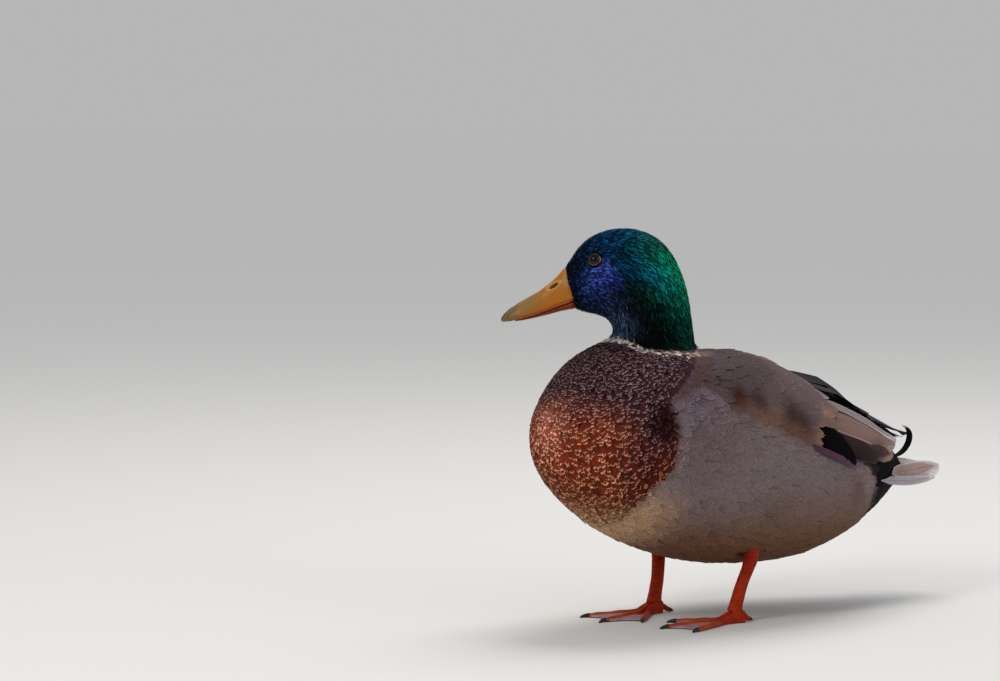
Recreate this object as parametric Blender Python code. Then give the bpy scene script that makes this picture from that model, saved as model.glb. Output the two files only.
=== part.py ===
"""Mallard drake, standing still, at life size.

The drake faces +X with its left side to +Y, and its soles lie on Z = 0. The tables of sizes are
in millimetres, and the model is built in metres. One row of cross-sections runs from the bill
over the head, neck and trunk to the tail, and thin gaps part it into the pieces a person would
name. Wings, tail, bill, eyes, legs and feet are shapes of their own, set against it.
"""

import math

import bmesh
import bpy
import numpy as np
from mathutils import Matrix, Vector
from mathutils.bvhtree import BVHTree

MM = 0.001

# ---- driving dimensions, in millimetres and degrees ------------------------------------------
GAP = 0.3                # left between two pieces that meet
RING_POINTS = 28         # points round each cross-section of the body
NECK_AHEAD = 35.0        # the neck's axis, ahead of the point midway between the ankles
HEAD_TURN = -40.0        # the head looks to the drake's right
STRIDE = 8.0             # the right foot stands this far ahead of that point, the left one behind
STANCE = 35.0            # from the middle plane to each ankle

# Cross-sections of the body. Each one runs from a point on the dorsal line to a point on the
# ventral line: dorsal ahead and up, ventral ahead and up, half width, fullness below, the share
# of the head's turn that it takes, and the height of the ridge along the middle of the back.
HEAD_SECTIONS = [
    (96.5, 252.0, 89.0, 223.0, 9.8, 0.00, 1.0, 0.0),
    (92.0, 260.0, 84.0, 220.3, 14.2, 0.05, 1.0, 0.0),
    (86.0, 268.4, 78.5, 219.2, 17.8, 0.07, 1.0, 0.0),
    (76.0, 276.0, 73.5, 218.3, 20.5, 0.07, 1.0, 0.0),
    (62.0, 280.3, 69.0, 216.8, 22.7, 0.06, 1.0, 0.0),
    (46.5, 280.0, 66.0, 214.8, 24.2, 0.05, 1.0, 0.0),
    (31.0, 273.5, 64.0, 212.0, 25.2, 0.04, 1.0, 0.0),
]
NECK_SECTIONS = [
    (20.0, 261.5, 63.0, 209.3, 26.0, 0.05, 0.95, 0.0),
    (12.5, 245.0, 62.8, 207.0, 26.6, 0.02, 0.85, 0.0),
    (8.5, 229.0, 63.5, 205.0, 27.5, 0.00, 0.65, 0.0),
    (6.0, 211.0, 65.0, 203.2, 29.0, 0.00, 0.45, 0.0),
]
COLLAR_SECTIONS = [
    (4.0, 199.0, 67.5, 201.6, 31.0, 0.00, 0.25, 0.0),
]
BREAST_SECTIONS = [
    (2.0, 194.8, 75.0, 199.0, 35.0, 0.00, 0.1, 0.0),
    (-1.0, 192.8, 86.0, 195.0, 41.0, 0.00, 0.0, 0.0),
    (-3.0, 192.0, 99.0, 186.5, 47.5, 0.00, 0.0, 0.0),
    (-6.0, 191.7, 114.0, 171.5, 53.5, 0.00, 0.0, 0.0),
    (-10.0, 191.5, 126.5, 151.0, 58.5, 0.00, 0.0, 0.0),
    (-17.0, 191.5, 131.5, 131.0, 62.0, 0.02, 0.0, 0.0),
]
TRUNK_SECTIONS = [
    (-27.0, 191.5, 125.0, 109.0, 65.0, 0.04, 0.0, 0.0),
    (-41.0, 190.0, 107.0, 88.0, 67.5, 0.06, 0.0, 1.0),
    (-58.0, 185.0, 80.0, 68.5, 69.5, 0.08, 0.0, 3.0),
    (-78.0, 176.0, 47.0, 53.0, 70.5, 0.10, 0.0, 5.5),
    (-99.0, 165.0, 9.0, 41.5, 69.5, 0.12, 0.0, 8.0),
    (-121.0, 155.5, -36.0, 36.5, 66.0, 0.12, 0.0, 8.0),
    (-142.0, 145.0, -80.0, 37.0, 59.5, 0.10, 0.0, 6.0),
]
RUMP_SECTIONS = [
    (-161.0, 133.0, -118.0, 46.5, 49.0, 0.06, 0.0, 4.0),
    (-177.0, 122.5, -152.0, 60.5, 35.0, 0.02, 0.0, 2.0),
    (-189.0, 113.5, -178.0, 73.5, 22.0, 0.00, 0.0, 0.0),
    (-198.0, 106.5, -196.0, 85.0, 13.0, 0.00, 0.0, 0.0),
]

# The folded left wing: for each distance ahead, the left and up of its upper edge, the left and
# up of its lower edge, and how far it stands off the body between them.
WING_SECTIONS = [
    (25.0, 49.0, 173.5, 52.0, 169.5, 1.6),
    (15.0, 43.0, 181.0, 56.0, 160.0, 3.0),
    (0.0, 34.0, 187.0, 60.0, 149.5, 4.2),
    (-25.0, 26.0, 188.5, 62.0, 141.5, 5.2),
    (-50.0, 20.5, 185.0, 62.0, 131.5, 5.8),
    (-75.0, 18.0, 173.0, 62.0, 119.5, 5.8),
    (-100.0, 16.5, 161.0, 60.0, 106.5, 5.2),
    (-125.0, 15.0, 150.0, 52.0, 106.5, 4.8),
    (-147.0, 14.0, 141.0, 42.0, 111.0, 4.2),
    (-165.0, 13.0, 133.0, 32.0, 114.0, 3.2),
    (-178.0, 12.0, 126.0, 23.0, 117.0, 2.4),
    (-189.0, 10.5, 120.0, 13.0, 118.0, 1.8),
]
WING_INSIDE, WING_EDGE = 0.9, 1.8     # the wing's inner face and its edges, off the body

# Where planes part the folded wing: the plane's point, and the direction it faces.
WING_CUTS = {
    "tertials": ((-84.0, 165.0), (-0.88, -0.47)),
    "secondaries": ((-120.0, 112.0), (-0.12, -0.99)),
}

# Long flight feathers, from under the wing to their tips over the rump: ahead, outwards and up
# of the middle, half height, half thickness and lean.
LEFT_PRIMARIES = [
    (-140.0, 7.0, 146.5, 6.0, 2.0, 50.0),
    (-162.0, 6.4, 137.0, 7.0, 1.8, 52.0),
    (-184.0, 5.1, 127.5, 5.5, 1.4, 54.0),
    (-199.0, 3.6, 121.3, 3.2, 1.1, 56.0),
    (-206.0, 2.3, 118.8, 1.2, 0.7, 58.0),
]
RIGHT_PRIMARIES = [
    (-140.0, 7.0, 146.5, 6.0, 2.0, 50.0),
    (-164.0, 6.4, 136.0, 7.0, 1.8, 52.0),
    (-188.0, 5.1, 126.0, 5.5, 1.4, 54.0),
    (-203.0, 3.6, 120.6, 3.2, 1.1, 56.0),
    (-210.0, 2.3, 118.6, 1.2, 0.7, 58.0),
]

# Bill, in the head's own frame: ridge ahead and up, edge ahead and up, half width. "Ahead" is
# from the neck's axis.
BILL_SECTIONS = [
    (62.2, 252.0, 56.4, 228.8, 9.6),
    (66.0, 247.0, 59.5, 227.2, 9.0),
    (72.3, 241.1, 65.5, 225.3, 8.6),
    (79.5, 235.7, 74.0, 222.0, 8.8),
    (87.0, 231.4, 83.5, 218.7, 9.9),
    (94.0, 227.4, 92.0, 216.4, 10.8),
    (100.6, 223.0, 99.8, 215.0, 9.8),
    (104.4, 219.4, 104.2, 214.6, 6.4),
    (106.2, 216.6, 106.0, 214.9, 2.8),
]
# Lower half: its edge ahead and up, depth and half width.
LOWER_BILL_SECTIONS = [
    (56.4, 228.7, 5.8, 8.2),
    (59.5, 227.1, 4.6, 7.7),
    (65.5, 225.2, 3.9, 7.3),
    (74.0, 221.9, 3.0, 7.6),
    (83.5, 218.6, 2.0, 8.7),
    (91.0, 216.5, 1.4, 8.8),
    (97.0, 215.3, 0.9, 6.5),
]
NAIL_CENTRE, NAIL_HALF_LENGTH, NAIL_HALF_WIDTH = 102.0, 5.4, 3.9
EYE_AHEAD, EYE_UP, EYE_SIDE, EYE_RADIUS = 39.4, 257.7, 14.2, 5.5

# Tail: a low arch of feathers spreading from one point.
TAIL_ROOT = (-168.0, 107.0)     # the point they spread from, ahead and up
TAIL_FEATHERS = 18
TAIL_SPREAD = 27.0              # the outermost feather's angle from the middle
TAIL_LENGTH, TAIL_OUTER_LENGTH = 73.5, 55.0
TAIL_START = 24.0               # from the root to where the coverts end
TAIL_DROP = 9.5                 # how much lower the outermost feathers lie
TAIL_THICKNESS = 2.0
TAIL_SLOPE = -9.5               # rise of the tail's middle towards the tip

# Curled tail coverts: the ribbon's middle line, ahead and up, and its width.
CURL_LINE = [
    (-192.0, 104.0), (-199.0, 103.4), (-206.5, 105.5), (-212.3, 109.8), (-215.6, 115.0),
    (-216.0, 120.4), (-213.6, 124.4), (-208.7, 126.4),
]
CURL_WIDTH, CURL_THICKNESS, CURL_SIDE = 7.0, 1.3, 4.4

# Legs and feet, from the ankle.
HOCK_RISE = 47.0
LEFT_HOCK, RIGHT_HOCK = (-11.0, 3.0), (-9.0, 1.0)      # ahead and outwards of the ankle
SHANK_HALF_WIDTH, SHANK_HALF_DEPTH = 4.2, 5.4
ANKLE_RISE = 9.0
TOES = [            # angle outwards from the middle toe, length to the claw's tip, half width
    (-31.0, 45.0, 2.1),
    (0.0, 58.0, 2.4),
    (29.0, 54.0, 2.3),
]
CLAW_LENGTH = 6.5
WEB_THICKNESS = 1.2
LEFT_TOE_IN, RIGHT_TOE_IN = 9.0, 12.0
HIND_TOE_LENGTH = 20.5


# ---- shapes ----------------------------------------------------------------------------------
def smooth(rows, at):
    """The row at position `at` of a Catmull-Rom curve through rows."""
    rows = np.asarray(rows, float)
    i = min(max(int(math.floor(at)), 0), len(rows) - 2)
    t = at - i
    b, c = rows[i], rows[i + 1]
    a = rows[i - 1] if i > 0 else 2 * b - c
    d = rows[i + 2] if i + 2 < len(rows) else 2 * c - b
    return 0.5 * (2 * b + (c - a) * t + (2 * a - 5 * b + 4 * c - d) * t**2
                  + (3 * (b - c) + d - a) * t**3)


def turned(points, share=1.0):
    """Points turned with the head about the neck's axis."""
    angle = math.radians(HEAD_TURN) * share
    c, s = math.cos(angle), math.sin(angle)
    x, y = points[:, 0] - NECK_AHEAD, points[:, 1]
    return np.column_stack([NECK_AHEAD + c * x - s * y, s * x + c * y, points[:, 2]])


def body_ring(at, grow=0.0):
    """One cross-section of the body, `grow` larger all round."""
    d_x, d_z, v_x, v_z, width, fullness, turn, ridge = smooth(BODY, at)
    middle = np.array([(d_x + v_x) / 2, 0.0, (d_z + v_z) / 2])
    half = np.array([(d_x - v_x) / 2, 0.0, (d_z - v_z) / 2])
    half *= 1 + grow / np.linalg.norm(half)
    angle = np.linspace(0, 2 * math.pi, RING_POINTS, endpoint=False)
    side = (width + grow) * np.sin(angle) * (1 - fullness * np.cos(angle))
    points = middle + np.cos(angle)[:, None] * half + side[:, None] * np.array([0.0, 1.0, 0.0])
    points[0] += half / np.linalg.norm(half) * ridge
    return turned(points, turn)


def shifted(ring, towards, distance):
    """A flat ring moved along its own normal, towards another ring."""
    normal = np.cross(ring[len(ring) // 4] - ring[0], ring[len(ring) // 2] - ring[0])
    normal /= np.linalg.norm(normal)
    if np.dot(normal, towards.mean(axis=0) - ring.mean(axis=0)) < 0:
        normal = -normal
    return ring + normal * distance


def blade_ring(row, points=12, side=1.0):
    """One cross-section of a wing or of a bunch of flight feathers."""
    ahead, left, up, height, thickness, lean = row
    angle = np.linspace(0, 2 * math.pi, points, endpoint=False)
    lean = math.radians(lean)
    up_y, up_z, out_y, out_z = -math.sin(lean), math.cos(lean), math.cos(lean), math.sin(lean)
    y = left + height * np.cos(angle) * up_y + thickness * np.sin(angle) * out_y
    z = up + height * np.cos(angle) * up_z + thickness * np.sin(angle) * out_z
    return np.column_stack([np.full(points, ahead), side * y, z])


def loft(rings):
    """A closed mesh through rings of equal length, with flat ends."""
    count = len(rings[0])
    shape = bmesh.new()
    verts = [[shape.verts.new(Vector(p) * MM) for p in ring] for ring in rings]
    for a, b in zip(verts, verts[1:]):
        for j in range(count):
            k = (j + 1) % count
            shape.faces.new((a[j], a[k], b[k], b[j]))
    shape.faces.new(verts[0])
    shape.faces.new(verts[-1])
    bmesh.ops.recalc_face_normals(shape, faces=shape.faces)
    return shape


def plate(upper, lower):
    """A closed mesh between two grids of points with the same rows and columns."""
    shape = bmesh.new()
    top = [[shape.verts.new(Vector(p) * MM) for p in row] for row in upper]
    low = [[shape.verts.new(Vector(p) * MM) for p in row] for row in lower]
    rows, columns = len(top), len(top[0])
    for grid in (top, low):
        for i in range(rows - 1):
            for j in range(columns - 1):
                shape.faces.new((grid[i][j], grid[i][j + 1], grid[i + 1][j + 1], grid[i + 1][j]))
    rim = [(0, j) for j in range(columns)] + [(i, columns - 1) for i in range(1, rows)]
    rim += [(rows - 1, j) for j in range(columns - 2, -1, -1)]
    rim += [(i, 0) for i in range(rows - 2, 0, -1)]
    for (i, j), (k, m) in zip(rim, rim[1:] + rim[:1]):
        shape.faces.new((top[i][j], top[k][m], low[k][m], low[i][j]))
    bmesh.ops.recalc_face_normals(shape, faces=shape.faces)
    return shape


def ball(centre, radius, rings=8, points=14):
    shape = bmesh.new()
    place = Matrix.Translation(Vector(centre) * MM)
    bmesh.ops.create_uvsphere(shape, u_segments=points, v_segments=rings, radius=radius * MM,
                              matrix=place)
    return shape


def material(name, colour, roughness):
    made = bpy.data.materials.new(name)
    made.use_nodes = True
    shader = made.node_tree.nodes["Principled BSDF"]
    shader.inputs["Base Color"].default_value = (*colour, 1.0)
    shader.inputs["Roughness"].default_value = roughness
    shader.inputs["Metallic"].default_value = 0.0
    return made


def piece(name, shape, look, hidden=False):
    """An object holding the mesh, with its own middle as its origin."""
    corners = np.array([v.co for v in shape.verts])
    middle = Vector((corners.min(axis=0) + corners.max(axis=0)) / 2)
    bmesh.ops.translate(shape, verts=shape.verts, vec=-middle)
    mesh = bpy.data.meshes.new(name)
    shape.to_mesh(mesh)
    shape.free()
    for face in mesh.polygons:
        face.use_smooth = True
    made = bpy.data.objects.new(name, mesh)
    made.location = middle
    bpy.context.scene.collection.objects.link(made)
    if look:
        mesh.materials.append(look)
    if hidden:
        made.hide_render = True
        made.display_type = "WIRE"
    return made


def cut(target, cutter, operation="DIFFERENCE"):
    """Applies an exact Boolean to target at once, so that later cuts see its result."""
    step = target.modifiers.new(operation.lower(), "BOOLEAN")
    step.operation = operation
    step.solver = "EXACT"
    step.object = cutter
    graph = bpy.context.evaluated_depsgraph_get()
    graph.update()
    mesh = bpy.data.meshes.new_from_object(target.evaluated_get(graph))
    target.modifiers.remove(step)
    target.data = mesh


def part_off(source, name, look, point, direction):
    """Moves what lies ahead of a plane to a new piece, with the usual gap between the two."""
    normal = Vector(direction).normalized()
    made = None
    for keep_ahead in (True, False):
        shape = bmesh.new()
        shape.from_mesh(source.data)
        offset = normal * (GAP / 2 if keep_ahead else -GAP / 2) * MM
        where = Vector(point) * MM - source.location + offset
        bmesh.ops.bisect_plane(shape, geom=shape.verts[:] + shape.edges[:] + shape.faces[:],
                               plane_co=where, plane_no=normal, dist=1e-7,
                               clear_inner=keep_ahead, clear_outer=not keep_ahead)
        open_edges = [e for e in shape.edges if e.is_boundary]
        bmesh.ops.holes_fill(shape, edges=open_edges, sides=0)
        bmesh.ops.recalc_face_normals(shape, faces=shape.faces)
        if keep_ahead:
            bmesh.ops.translate(shape, verts=shape.verts, vec=source.location)
            made = piece(name, shape, look)
        else:
            shape.to_mesh(source.data)
            shape.free()
    return made


# ---- the drake -------------------------------------------------------------------------------
for leftover in list(bpy.data.objects):
    bpy.data.objects.remove(leftover, do_unlink=True)

GREEN = material("green_head", (0.010, 0.060, 0.032), 0.45)
COLLAR = material("white_collar", (0.62, 0.60, 0.57), 0.8)
CHESTNUT = material("chestnut_breast", (0.075, 0.032, 0.020), 0.8)
GREY = material("grey_flank", (0.42, 0.39, 0.35), 0.85)
BLACK = material("black_coverts", (0.012, 0.012, 0.014), 0.6)
BROWN = material("grey_brown_wing", (0.17, 0.135, 0.11), 0.8)
BLUE = material("violet_speculum", (0.045, 0.04, 0.16), 0.4)
DARK = material("dark_primaries", (0.06, 0.05, 0.042), 0.7)
TAIL_GREY = material("pale_tail", (0.46, 0.42, 0.38), 0.8)
BILL = material("yellow_bill", (0.46, 0.36, 0.055), 0.4)
LOWER_BILL = material("orange_bill", (0.50, 0.24, 0.04), 0.45)
NAIL = material("black_nail", (0.012, 0.010, 0.008), 0.35)
EYE = material("dark_eye", (0.016, 0.008, 0.005), 0.08)
LEG = material("orange_leg", (0.60, 0.16, 0.035), 0.55)

GROUPS = (
    ("head", HEAD_SECTIONS, GREEN),
    ("neck", NECK_SECTIONS, GREEN),
    ("collar", COLLAR_SECTIONS, COLLAR),
    ("breast", BREAST_SECTIONS, CHESTNUT),
    ("trunk", TRUNK_SECTIONS, GREY),
    ("rump", RUMP_SECTIONS, BLACK),
)
BODY = [row for _, sections, _ in GROUPS for row in sections]
LAST = len(BODY) - 1

# Head, neck, breast, trunk and rump, one behind the other.
body = {}
start = 0
for name, sections, look in GROUPS:
    end = min(start + len(sections), LAST)
    stations = [start + i / 2 for i in range(2 * (end - start) + 1)]
    rings = [body_ring(at) for at in stations]
    if start:
        rings[0] = shifted(rings[0], rings[1], GAP)
    body[name] = piece(name, loft(rings), look)
    start = end

# The body grown by the gap cuts whatever lies against it.
whole = piece("body_cutter", loft([body_ring(i / 2, GAP) for i in range(2 * LAST + 1)]), None,
              hidden=True)

# Bill: an upper half with a nail at its tip, and a shallow lower half that closes against it.
def bill_ring(top_ahead, top_up, edge_ahead, edge_up, width):
    """Half an oval standing on a flat underside. With its top below its edge it hangs."""
    angle = np.linspace(0, 2 * math.pi, 20, endpoint=False)
    rise = np.cos(angle)
    rise = np.where(rise > 0, np.abs(rise) ** 0.85, 0.005 * rise)
    side = np.sign(np.sin(angle)) * np.abs(np.sin(angle)) ** 0.75
    return turned(np.column_stack([
        NECK_AHEAD + edge_ahead + (top_ahead - edge_ahead) * rise,
        width * side,
        edge_up + (top_up - edge_up) * rise,
    ]))


def nail_cutter(grow):
    """An upright oval column round the nail."""
    angle = np.linspace(0, 2 * math.pi, 20, endpoint=False)
    ahead = NECK_AHEAD + NAIL_CENTRE + (NAIL_HALF_LENGTH + grow) * np.cos(angle)
    side = (NAIL_HALF_WIDTH + grow) * np.sin(angle)
    rings = [turned(np.column_stack([ahead, side, np.full(20, up)])) for up in (205.0, 225.0)]
    return piece("nail_cutter", loft(rings), None, hidden=True)


upper = [bill_ring(*row) for row in BILL_SECTIONS]
bill_upper = piece("bill_upper", loft(upper), BILL)
bill_nail = piece("bill_nail", loft(upper), NAIL)
cut(bill_nail, nail_cutter(0), "INTERSECT")
cut(bill_upper, nail_cutter(GAP))
lower = []
for ahead, up, depth, width in LOWER_BILL_SECTIONS:
    lower.append(bill_ring(ahead - 0.26 * depth, up - depth, ahead, up - 0.45, width))
piece("bill_lower", loft(lower), LOWER_BILL)

# Eyes, each in a socket of the head.
for side, name in ((1, "eye_left"), (-1, "eye_right")):
    centre = turned(np.array([[NECK_AHEAD + EYE_AHEAD, side * EYE_SIDE, EYE_UP]]))[0]
    cut(body["head"], piece("socket_cutter", ball(centre, EYE_RADIUS + GAP), None, hidden=True))
    piece(name, ball(centre, EYE_RADIUS), EYE)

# Wings, folded against the body: shoulder and coverts, the long inner feathers over the rump,
# the blue patch under them, and the crossed tips. Each is a shell that follows the body.
def wing_surfaces(side):
    """The outer and inner faces of a folded wing, row by row from front to back."""
    outer, inner = [], []
    for i in range(2 * len(WING_SECTIONS) - 1):
        ahead, top_y, top_z, low_y, low_z, rise = smooth(WING_SECTIONS, i / 2)
        edge = np.array([low_y - top_y, low_z - top_z])
        out = np.array([-edge[1], edge[0]]) / np.linalg.norm(edge)
        outer_row, inner_row = [], []
        for share in (0.0, 0.12, 0.27, 0.42, 0.58, 0.73, 0.88, 1.0):
            y, z = np.array([top_y, top_z]) + share * edge
            start = Vector((ahead, side * y, z)) * MM
            hit = SKIN.ray_cast(start, Vector((0.0, side * out[0], out[1])))
            depth = hit[3] / MM if hit[0] else 0.0
            swell = WING_EDGE + (rise - WING_EDGE) * math.sin(math.pi * share) ** 0.6
            for row, off in ((outer_row, depth + max(swell, WING_EDGE)),
                             (inner_row, depth + WING_INSIDE)):
                row.append((ahead, side * (y + off * out[0]), z + off * out[1]))
        outer.append(outer_row)
        inner.append(inner_row)
    return outer, inner


def wing_rings(rows, side, points):
    return [blade_ring(smooth(rows, i / 2), points, side) for i in range(2 * len(rows) - 1)]


shape = loft([body_ring(i / 2) for i in range(2 * LAST + 1)])
SKIN = BVHTree.FromBMesh(shape)
shape.free()
for side, hand, tips in ((1, "left", LEFT_PRIMARIES), (-1, "right", RIGHT_PRIMARIES)):
    wing = piece("wing_" + hand, plate(*wing_surfaces(side)), BROWN)
    rear = wing
    for name, look in (("tertials", BROWN), ("secondaries", BLUE)):
        (ahead, up), (towards_x, towards_z) = WING_CUTS[name]
        rear = part_off(rear, name + "_" + hand, look, (ahead, 0.0, up),
                        (towards_x, 0.0, towards_z))
    primaries = piece("primaries_" + hand, loft(wing_rings(tips, side, 10)), DARK)
    cut(primaries, whole)

# Tail: one low arched plate with a rounded end to each feather.
def tail_point(across, along, feather_end):
    """A point of the tail's middle surface; `across` runs from -1 to 1, `along` from 0 to 1."""
    angle = math.radians(TAIL_SPREAD) * across
    reach = TAIL_START + (feather_end - TAIL_START) * along
    ahead = TAIL_ROOT[0] - reach * math.cos(angle)
    up = TAIL_ROOT[1] + math.tan(math.radians(TAIL_SLOPE)) * reach
    up -= TAIL_DROP * across**2 * (0.35 + 0.65 * along)
    return np.array([ahead, reach * math.sin(angle), up])


columns = []
for feather in range(TAIL_FEATHERS):
    for step, round_off in enumerate((3.5, 0.0)):
        across = (feather + step / 2) / TAIL_FEATHERS * 2 - 1
        end = TAIL_LENGTH + (TAIL_OUTER_LENGTH - TAIL_LENGTH) * abs(across) ** 1.4
        columns.append((across, end - round_off))
columns.append((1.0, TAIL_OUTER_LENGTH - 3.5))
rows = [(0.0, 1.0), (0.55, 0.85), (1.0, 0.4)]
tail = []
for side in (1, -1):
    tail.append([[tail_point(across, along, end) + np.array([0, 0, side * thick * TAIL_THICKNESS / 2])
                  for across, end in columns] for along, thick in rows])
tail = piece("tail", plate(*tail), TAIL_GREY)
cut(tail, whole)

# Two curled coverts over the tail's root.
for side, name in ((1, "curl_left"), (-1, "curl_right")):
    rings = []
    count = 3 * (len(CURL_LINE) - 1)
    for i in range(count + 1):
        here = smooth(CURL_LINE, i / 3)
        ahead = smooth(CURL_LINE, min(i + 1, count) / 3) - smooth(CURL_LINE, max(i - 1, 0) / 3)
        ahead /= np.linalg.norm(ahead)
        taper = min(1.0, 0.45 + (count - i) / 6)
        half = np.array([-ahead[1], ahead[0]]) * CURL_THICKNESS / 2
        ring = []
        for across, out in ((-1, 0.3), (0, 1), (1, 0.3), (1, -0.3), (0, -1), (-1, -0.3)):
            point = here + half * out
            ring.append((point[0], side * CURL_SIDE + across * taper * CURL_WIDTH / 2, point[1]))
        rings.append(np.array(ring))
    curl = piece(name, loft(rings), BLACK)
    cut(curl, whole)

# Legs: a bare shank from the belly's feathers down to the ankle, and a webbed foot.
def toe_point(which, along, offset):
    """A point on a toe, short of its claw, `offset` half widths from its middle line."""
    angle, length, width = TOES[which]
    angle = math.radians(angle)
    reach = (length - CLAW_LENGTH) * along
    across = offset * width * min(1.0, 0.45 + 1.4 * along)
    return np.array([reach * math.cos(angle) - across * math.sin(angle),
                     reach * math.sin(angle) + across * math.cos(angle)])


def foot_grids():
    """The upper and lower surfaces of three toes and the webs between them."""
    columns = []
    for toe in range(3):
        columns += [(toe, offset) for offset in (-1.0, -0.5, 0.5, 1.0)]
        if toe < 2:
            columns += [(toe, "web", share) for share in (0.3, 0.7)]
    tops, lows = [], []
    for along in (0.0, 0.07, 0.14, 0.22, 0.34, 0.5, 0.67, 0.84, 1.0):
        top, low = [], []
        for j, column in enumerate(columns):
            if column[1] == "web":
                toe, _, share = column
                place = ((1 - share) * toe_point(toe, along, 1.0)
                         + share * toe_point(toe + 1, along, -1.0))
                place *= 1 - 0.11 * 4 * share * (1 - share) * along
                height, sole = WEB_THICKNESS + 0.4, 0.4
            else:
                toe, offset = column
                place = toe_point(toe, along, offset)
                knuckle = 0.5 * math.sin(math.pi * along * 3) ** 2
                height = (5.0 - 1.9 * along + knuckle) * math.sqrt(1 - 0.76 * offset**2)
                sole = 0.5 if abs(offset) == 1.0 else 0.0
            spread = min(along / 0.24, 1.0)
            spread *= spread * (3 - 2 * spread)
            straight = np.array([60 * along - 10.0, 4.8 * (2 * j / (len(columns) - 1) - 1)])
            place = (1 - spread) * straight + spread * place
            ankle = min(max((0.22 - along) / 0.12, 0.0), 1.0)
            height += (ANKLE_RISE - GAP - height) * ankle
            top.append((*place, height))
            low.append((*place, sole * (1 - ankle)))
        tops.append(top)
        lows.append(low)
    return tops, lows


def placed(points, ankle, heading, side):
    """Points given ahead, outwards and up of an ankle, put in the drake's frame."""
    points = np.asarray(points, float)
    c, s = math.cos(heading), math.sin(heading)
    y = side * points[..., 1]
    return np.stack([ankle[0] + c * points[..., 0] - s * y,
                     ankle[1] + s * points[..., 0] + c * y, points[..., 2]], axis=-1)


def tube(stations, points=10):
    """Rings in upright planes across; each station is ahead, outwards, up, half width, half height."""
    angle = np.linspace(0, 2 * math.pi, points, endpoint=False)
    return [np.column_stack([np.full(points, a), o + w * np.cos(angle),
                             np.maximum(u + h * np.sin(angle), 0.0)])
            for a, o, u, w, h in stations]


for side, hand, hock, toe_in in ((1, "left", LEFT_HOCK, LEFT_TOE_IN),
                                 (-1, "right", RIGHT_HOCK, RIGHT_TOE_IN)):
    ankle = (-side * STRIDE, side * STANCE)
    heading = -side * math.radians(toe_in)
    angle = np.linspace(0, 2 * math.pi, 12, endpoint=False)
    rings = []
    for rise, wide, deep in ((0.0, 1.15, 1.15), (0.12, 1.0, 1.03), (0.5, 0.95, 0.95),
                             (0.8, 1.0, 1.0), (1.0, 1.2, 1.2), (1.2, 1.4, 1.5), (1.5, 1.7, 1.9)):
        ahead, out = (share * rise for share in hock)
        ring = [(ahead + deep * SHANK_HALF_DEPTH * math.cos(a) - 3.6,
                 out + wide * SHANK_HALF_WIDTH * math.sin(a),
                 ANKLE_RISE + (HOCK_RISE - ANKLE_RISE) * rise) for a in angle]
        rings.append(placed(ring, ankle, 0.0, side))
    shank = piece("shank_" + hand, loft(rings), LEG)
    cut(shank, whole)
    tops, lows = foot_grids()
    foot = piece("foot_" + hand, plate(placed(tops, ankle, heading, side),
                                       placed(lows, ankle, heading, side)), LEG)
    for splay, length, width in TOES:
        root = length - CLAW_LENGTH - 2.0
        claw = tube([(root, 0.0, 1.7, 1.1, 1.2), (root + 3.5, 0.0, 1.9, 1.1, 1.2),
                     (root + 6.5, 0.0, 1.4, 0.8, 0.8), (root + 8.5, 0.0, 0.8, 0.4, 0.4)], 8)
        turn = heading + side * math.radians(splay)
        cutter = piece("claw_cutter", loft([placed(r, ankle, turn, side) for r in claw]), None,
                       hidden=True)
        cut(foot, cutter, "UNION")
    hind = tube([(-10.4, -1.0, 5.6, 2.2, 2.6), (-13.5, -2.0, 4.0, 2.0, 2.4),
                 (-16.5, -3.0, 2.2, 1.6, 2.2), (-18.5, -3.8, 1.0, 1.2, 1.3),
                 (-HIND_TOE_LENGTH, -4.4, 0.5, 0.6, 0.5)])
    piece("hind_toe_" + hand, loft([placed(r, ankle, heading, side) for r in hind]), LEG)

# The whole is moved so that the middle of its footprint is the origin.
bpy.context.view_layer.update()
corners = np.array([obj.matrix_world @ Vector(corner) for obj in bpy.data.objects
                    if not obj.hide_render for corner in obj.bound_box])
low, high = corners.min(axis=0), corners.max(axis=0)
for obj in bpy.data.objects:
    obj.location -= Vector(((low[0] + high[0]) / 2, (low[1] + high[1]) / 2, low[2]))
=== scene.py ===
import math

import bpy
import numpy as np
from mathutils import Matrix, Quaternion, Vector
from mathutils.bvhtree import BVHTree


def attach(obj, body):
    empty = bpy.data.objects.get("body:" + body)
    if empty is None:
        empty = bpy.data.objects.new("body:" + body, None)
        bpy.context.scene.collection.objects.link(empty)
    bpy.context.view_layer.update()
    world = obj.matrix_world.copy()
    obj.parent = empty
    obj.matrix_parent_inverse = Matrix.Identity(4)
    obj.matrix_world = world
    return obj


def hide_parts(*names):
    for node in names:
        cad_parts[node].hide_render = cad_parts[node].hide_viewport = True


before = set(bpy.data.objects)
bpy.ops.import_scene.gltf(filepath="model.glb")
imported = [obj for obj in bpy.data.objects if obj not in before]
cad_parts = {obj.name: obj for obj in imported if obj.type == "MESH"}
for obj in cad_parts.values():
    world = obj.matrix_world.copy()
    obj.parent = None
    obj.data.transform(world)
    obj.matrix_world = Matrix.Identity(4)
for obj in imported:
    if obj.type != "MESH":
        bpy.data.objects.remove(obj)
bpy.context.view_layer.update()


# ---- The room --------------------------------------------------------------------------------
# A pale matt floor, soft lamps overhead and in front, and a long lens off the drake's left
# breast at about knee height. None of this belongs to the mount.
STAND = Vector((0.0548, 0.0007, 0.0))        # midway between the drake's ankles
CAMERA_BEARING = math.radians(40.36)         # from the drake's left side towards its breast
CAMERA_AWAY, CAMERA_UP = 2.409, 0.3615
CAMERA_ASIDE, CAMERA_DOWN, CAMERA_ROLL = (math.radians(a) for a in (3.215, 3.853, -0.176))
LENS = 122.1
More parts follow.
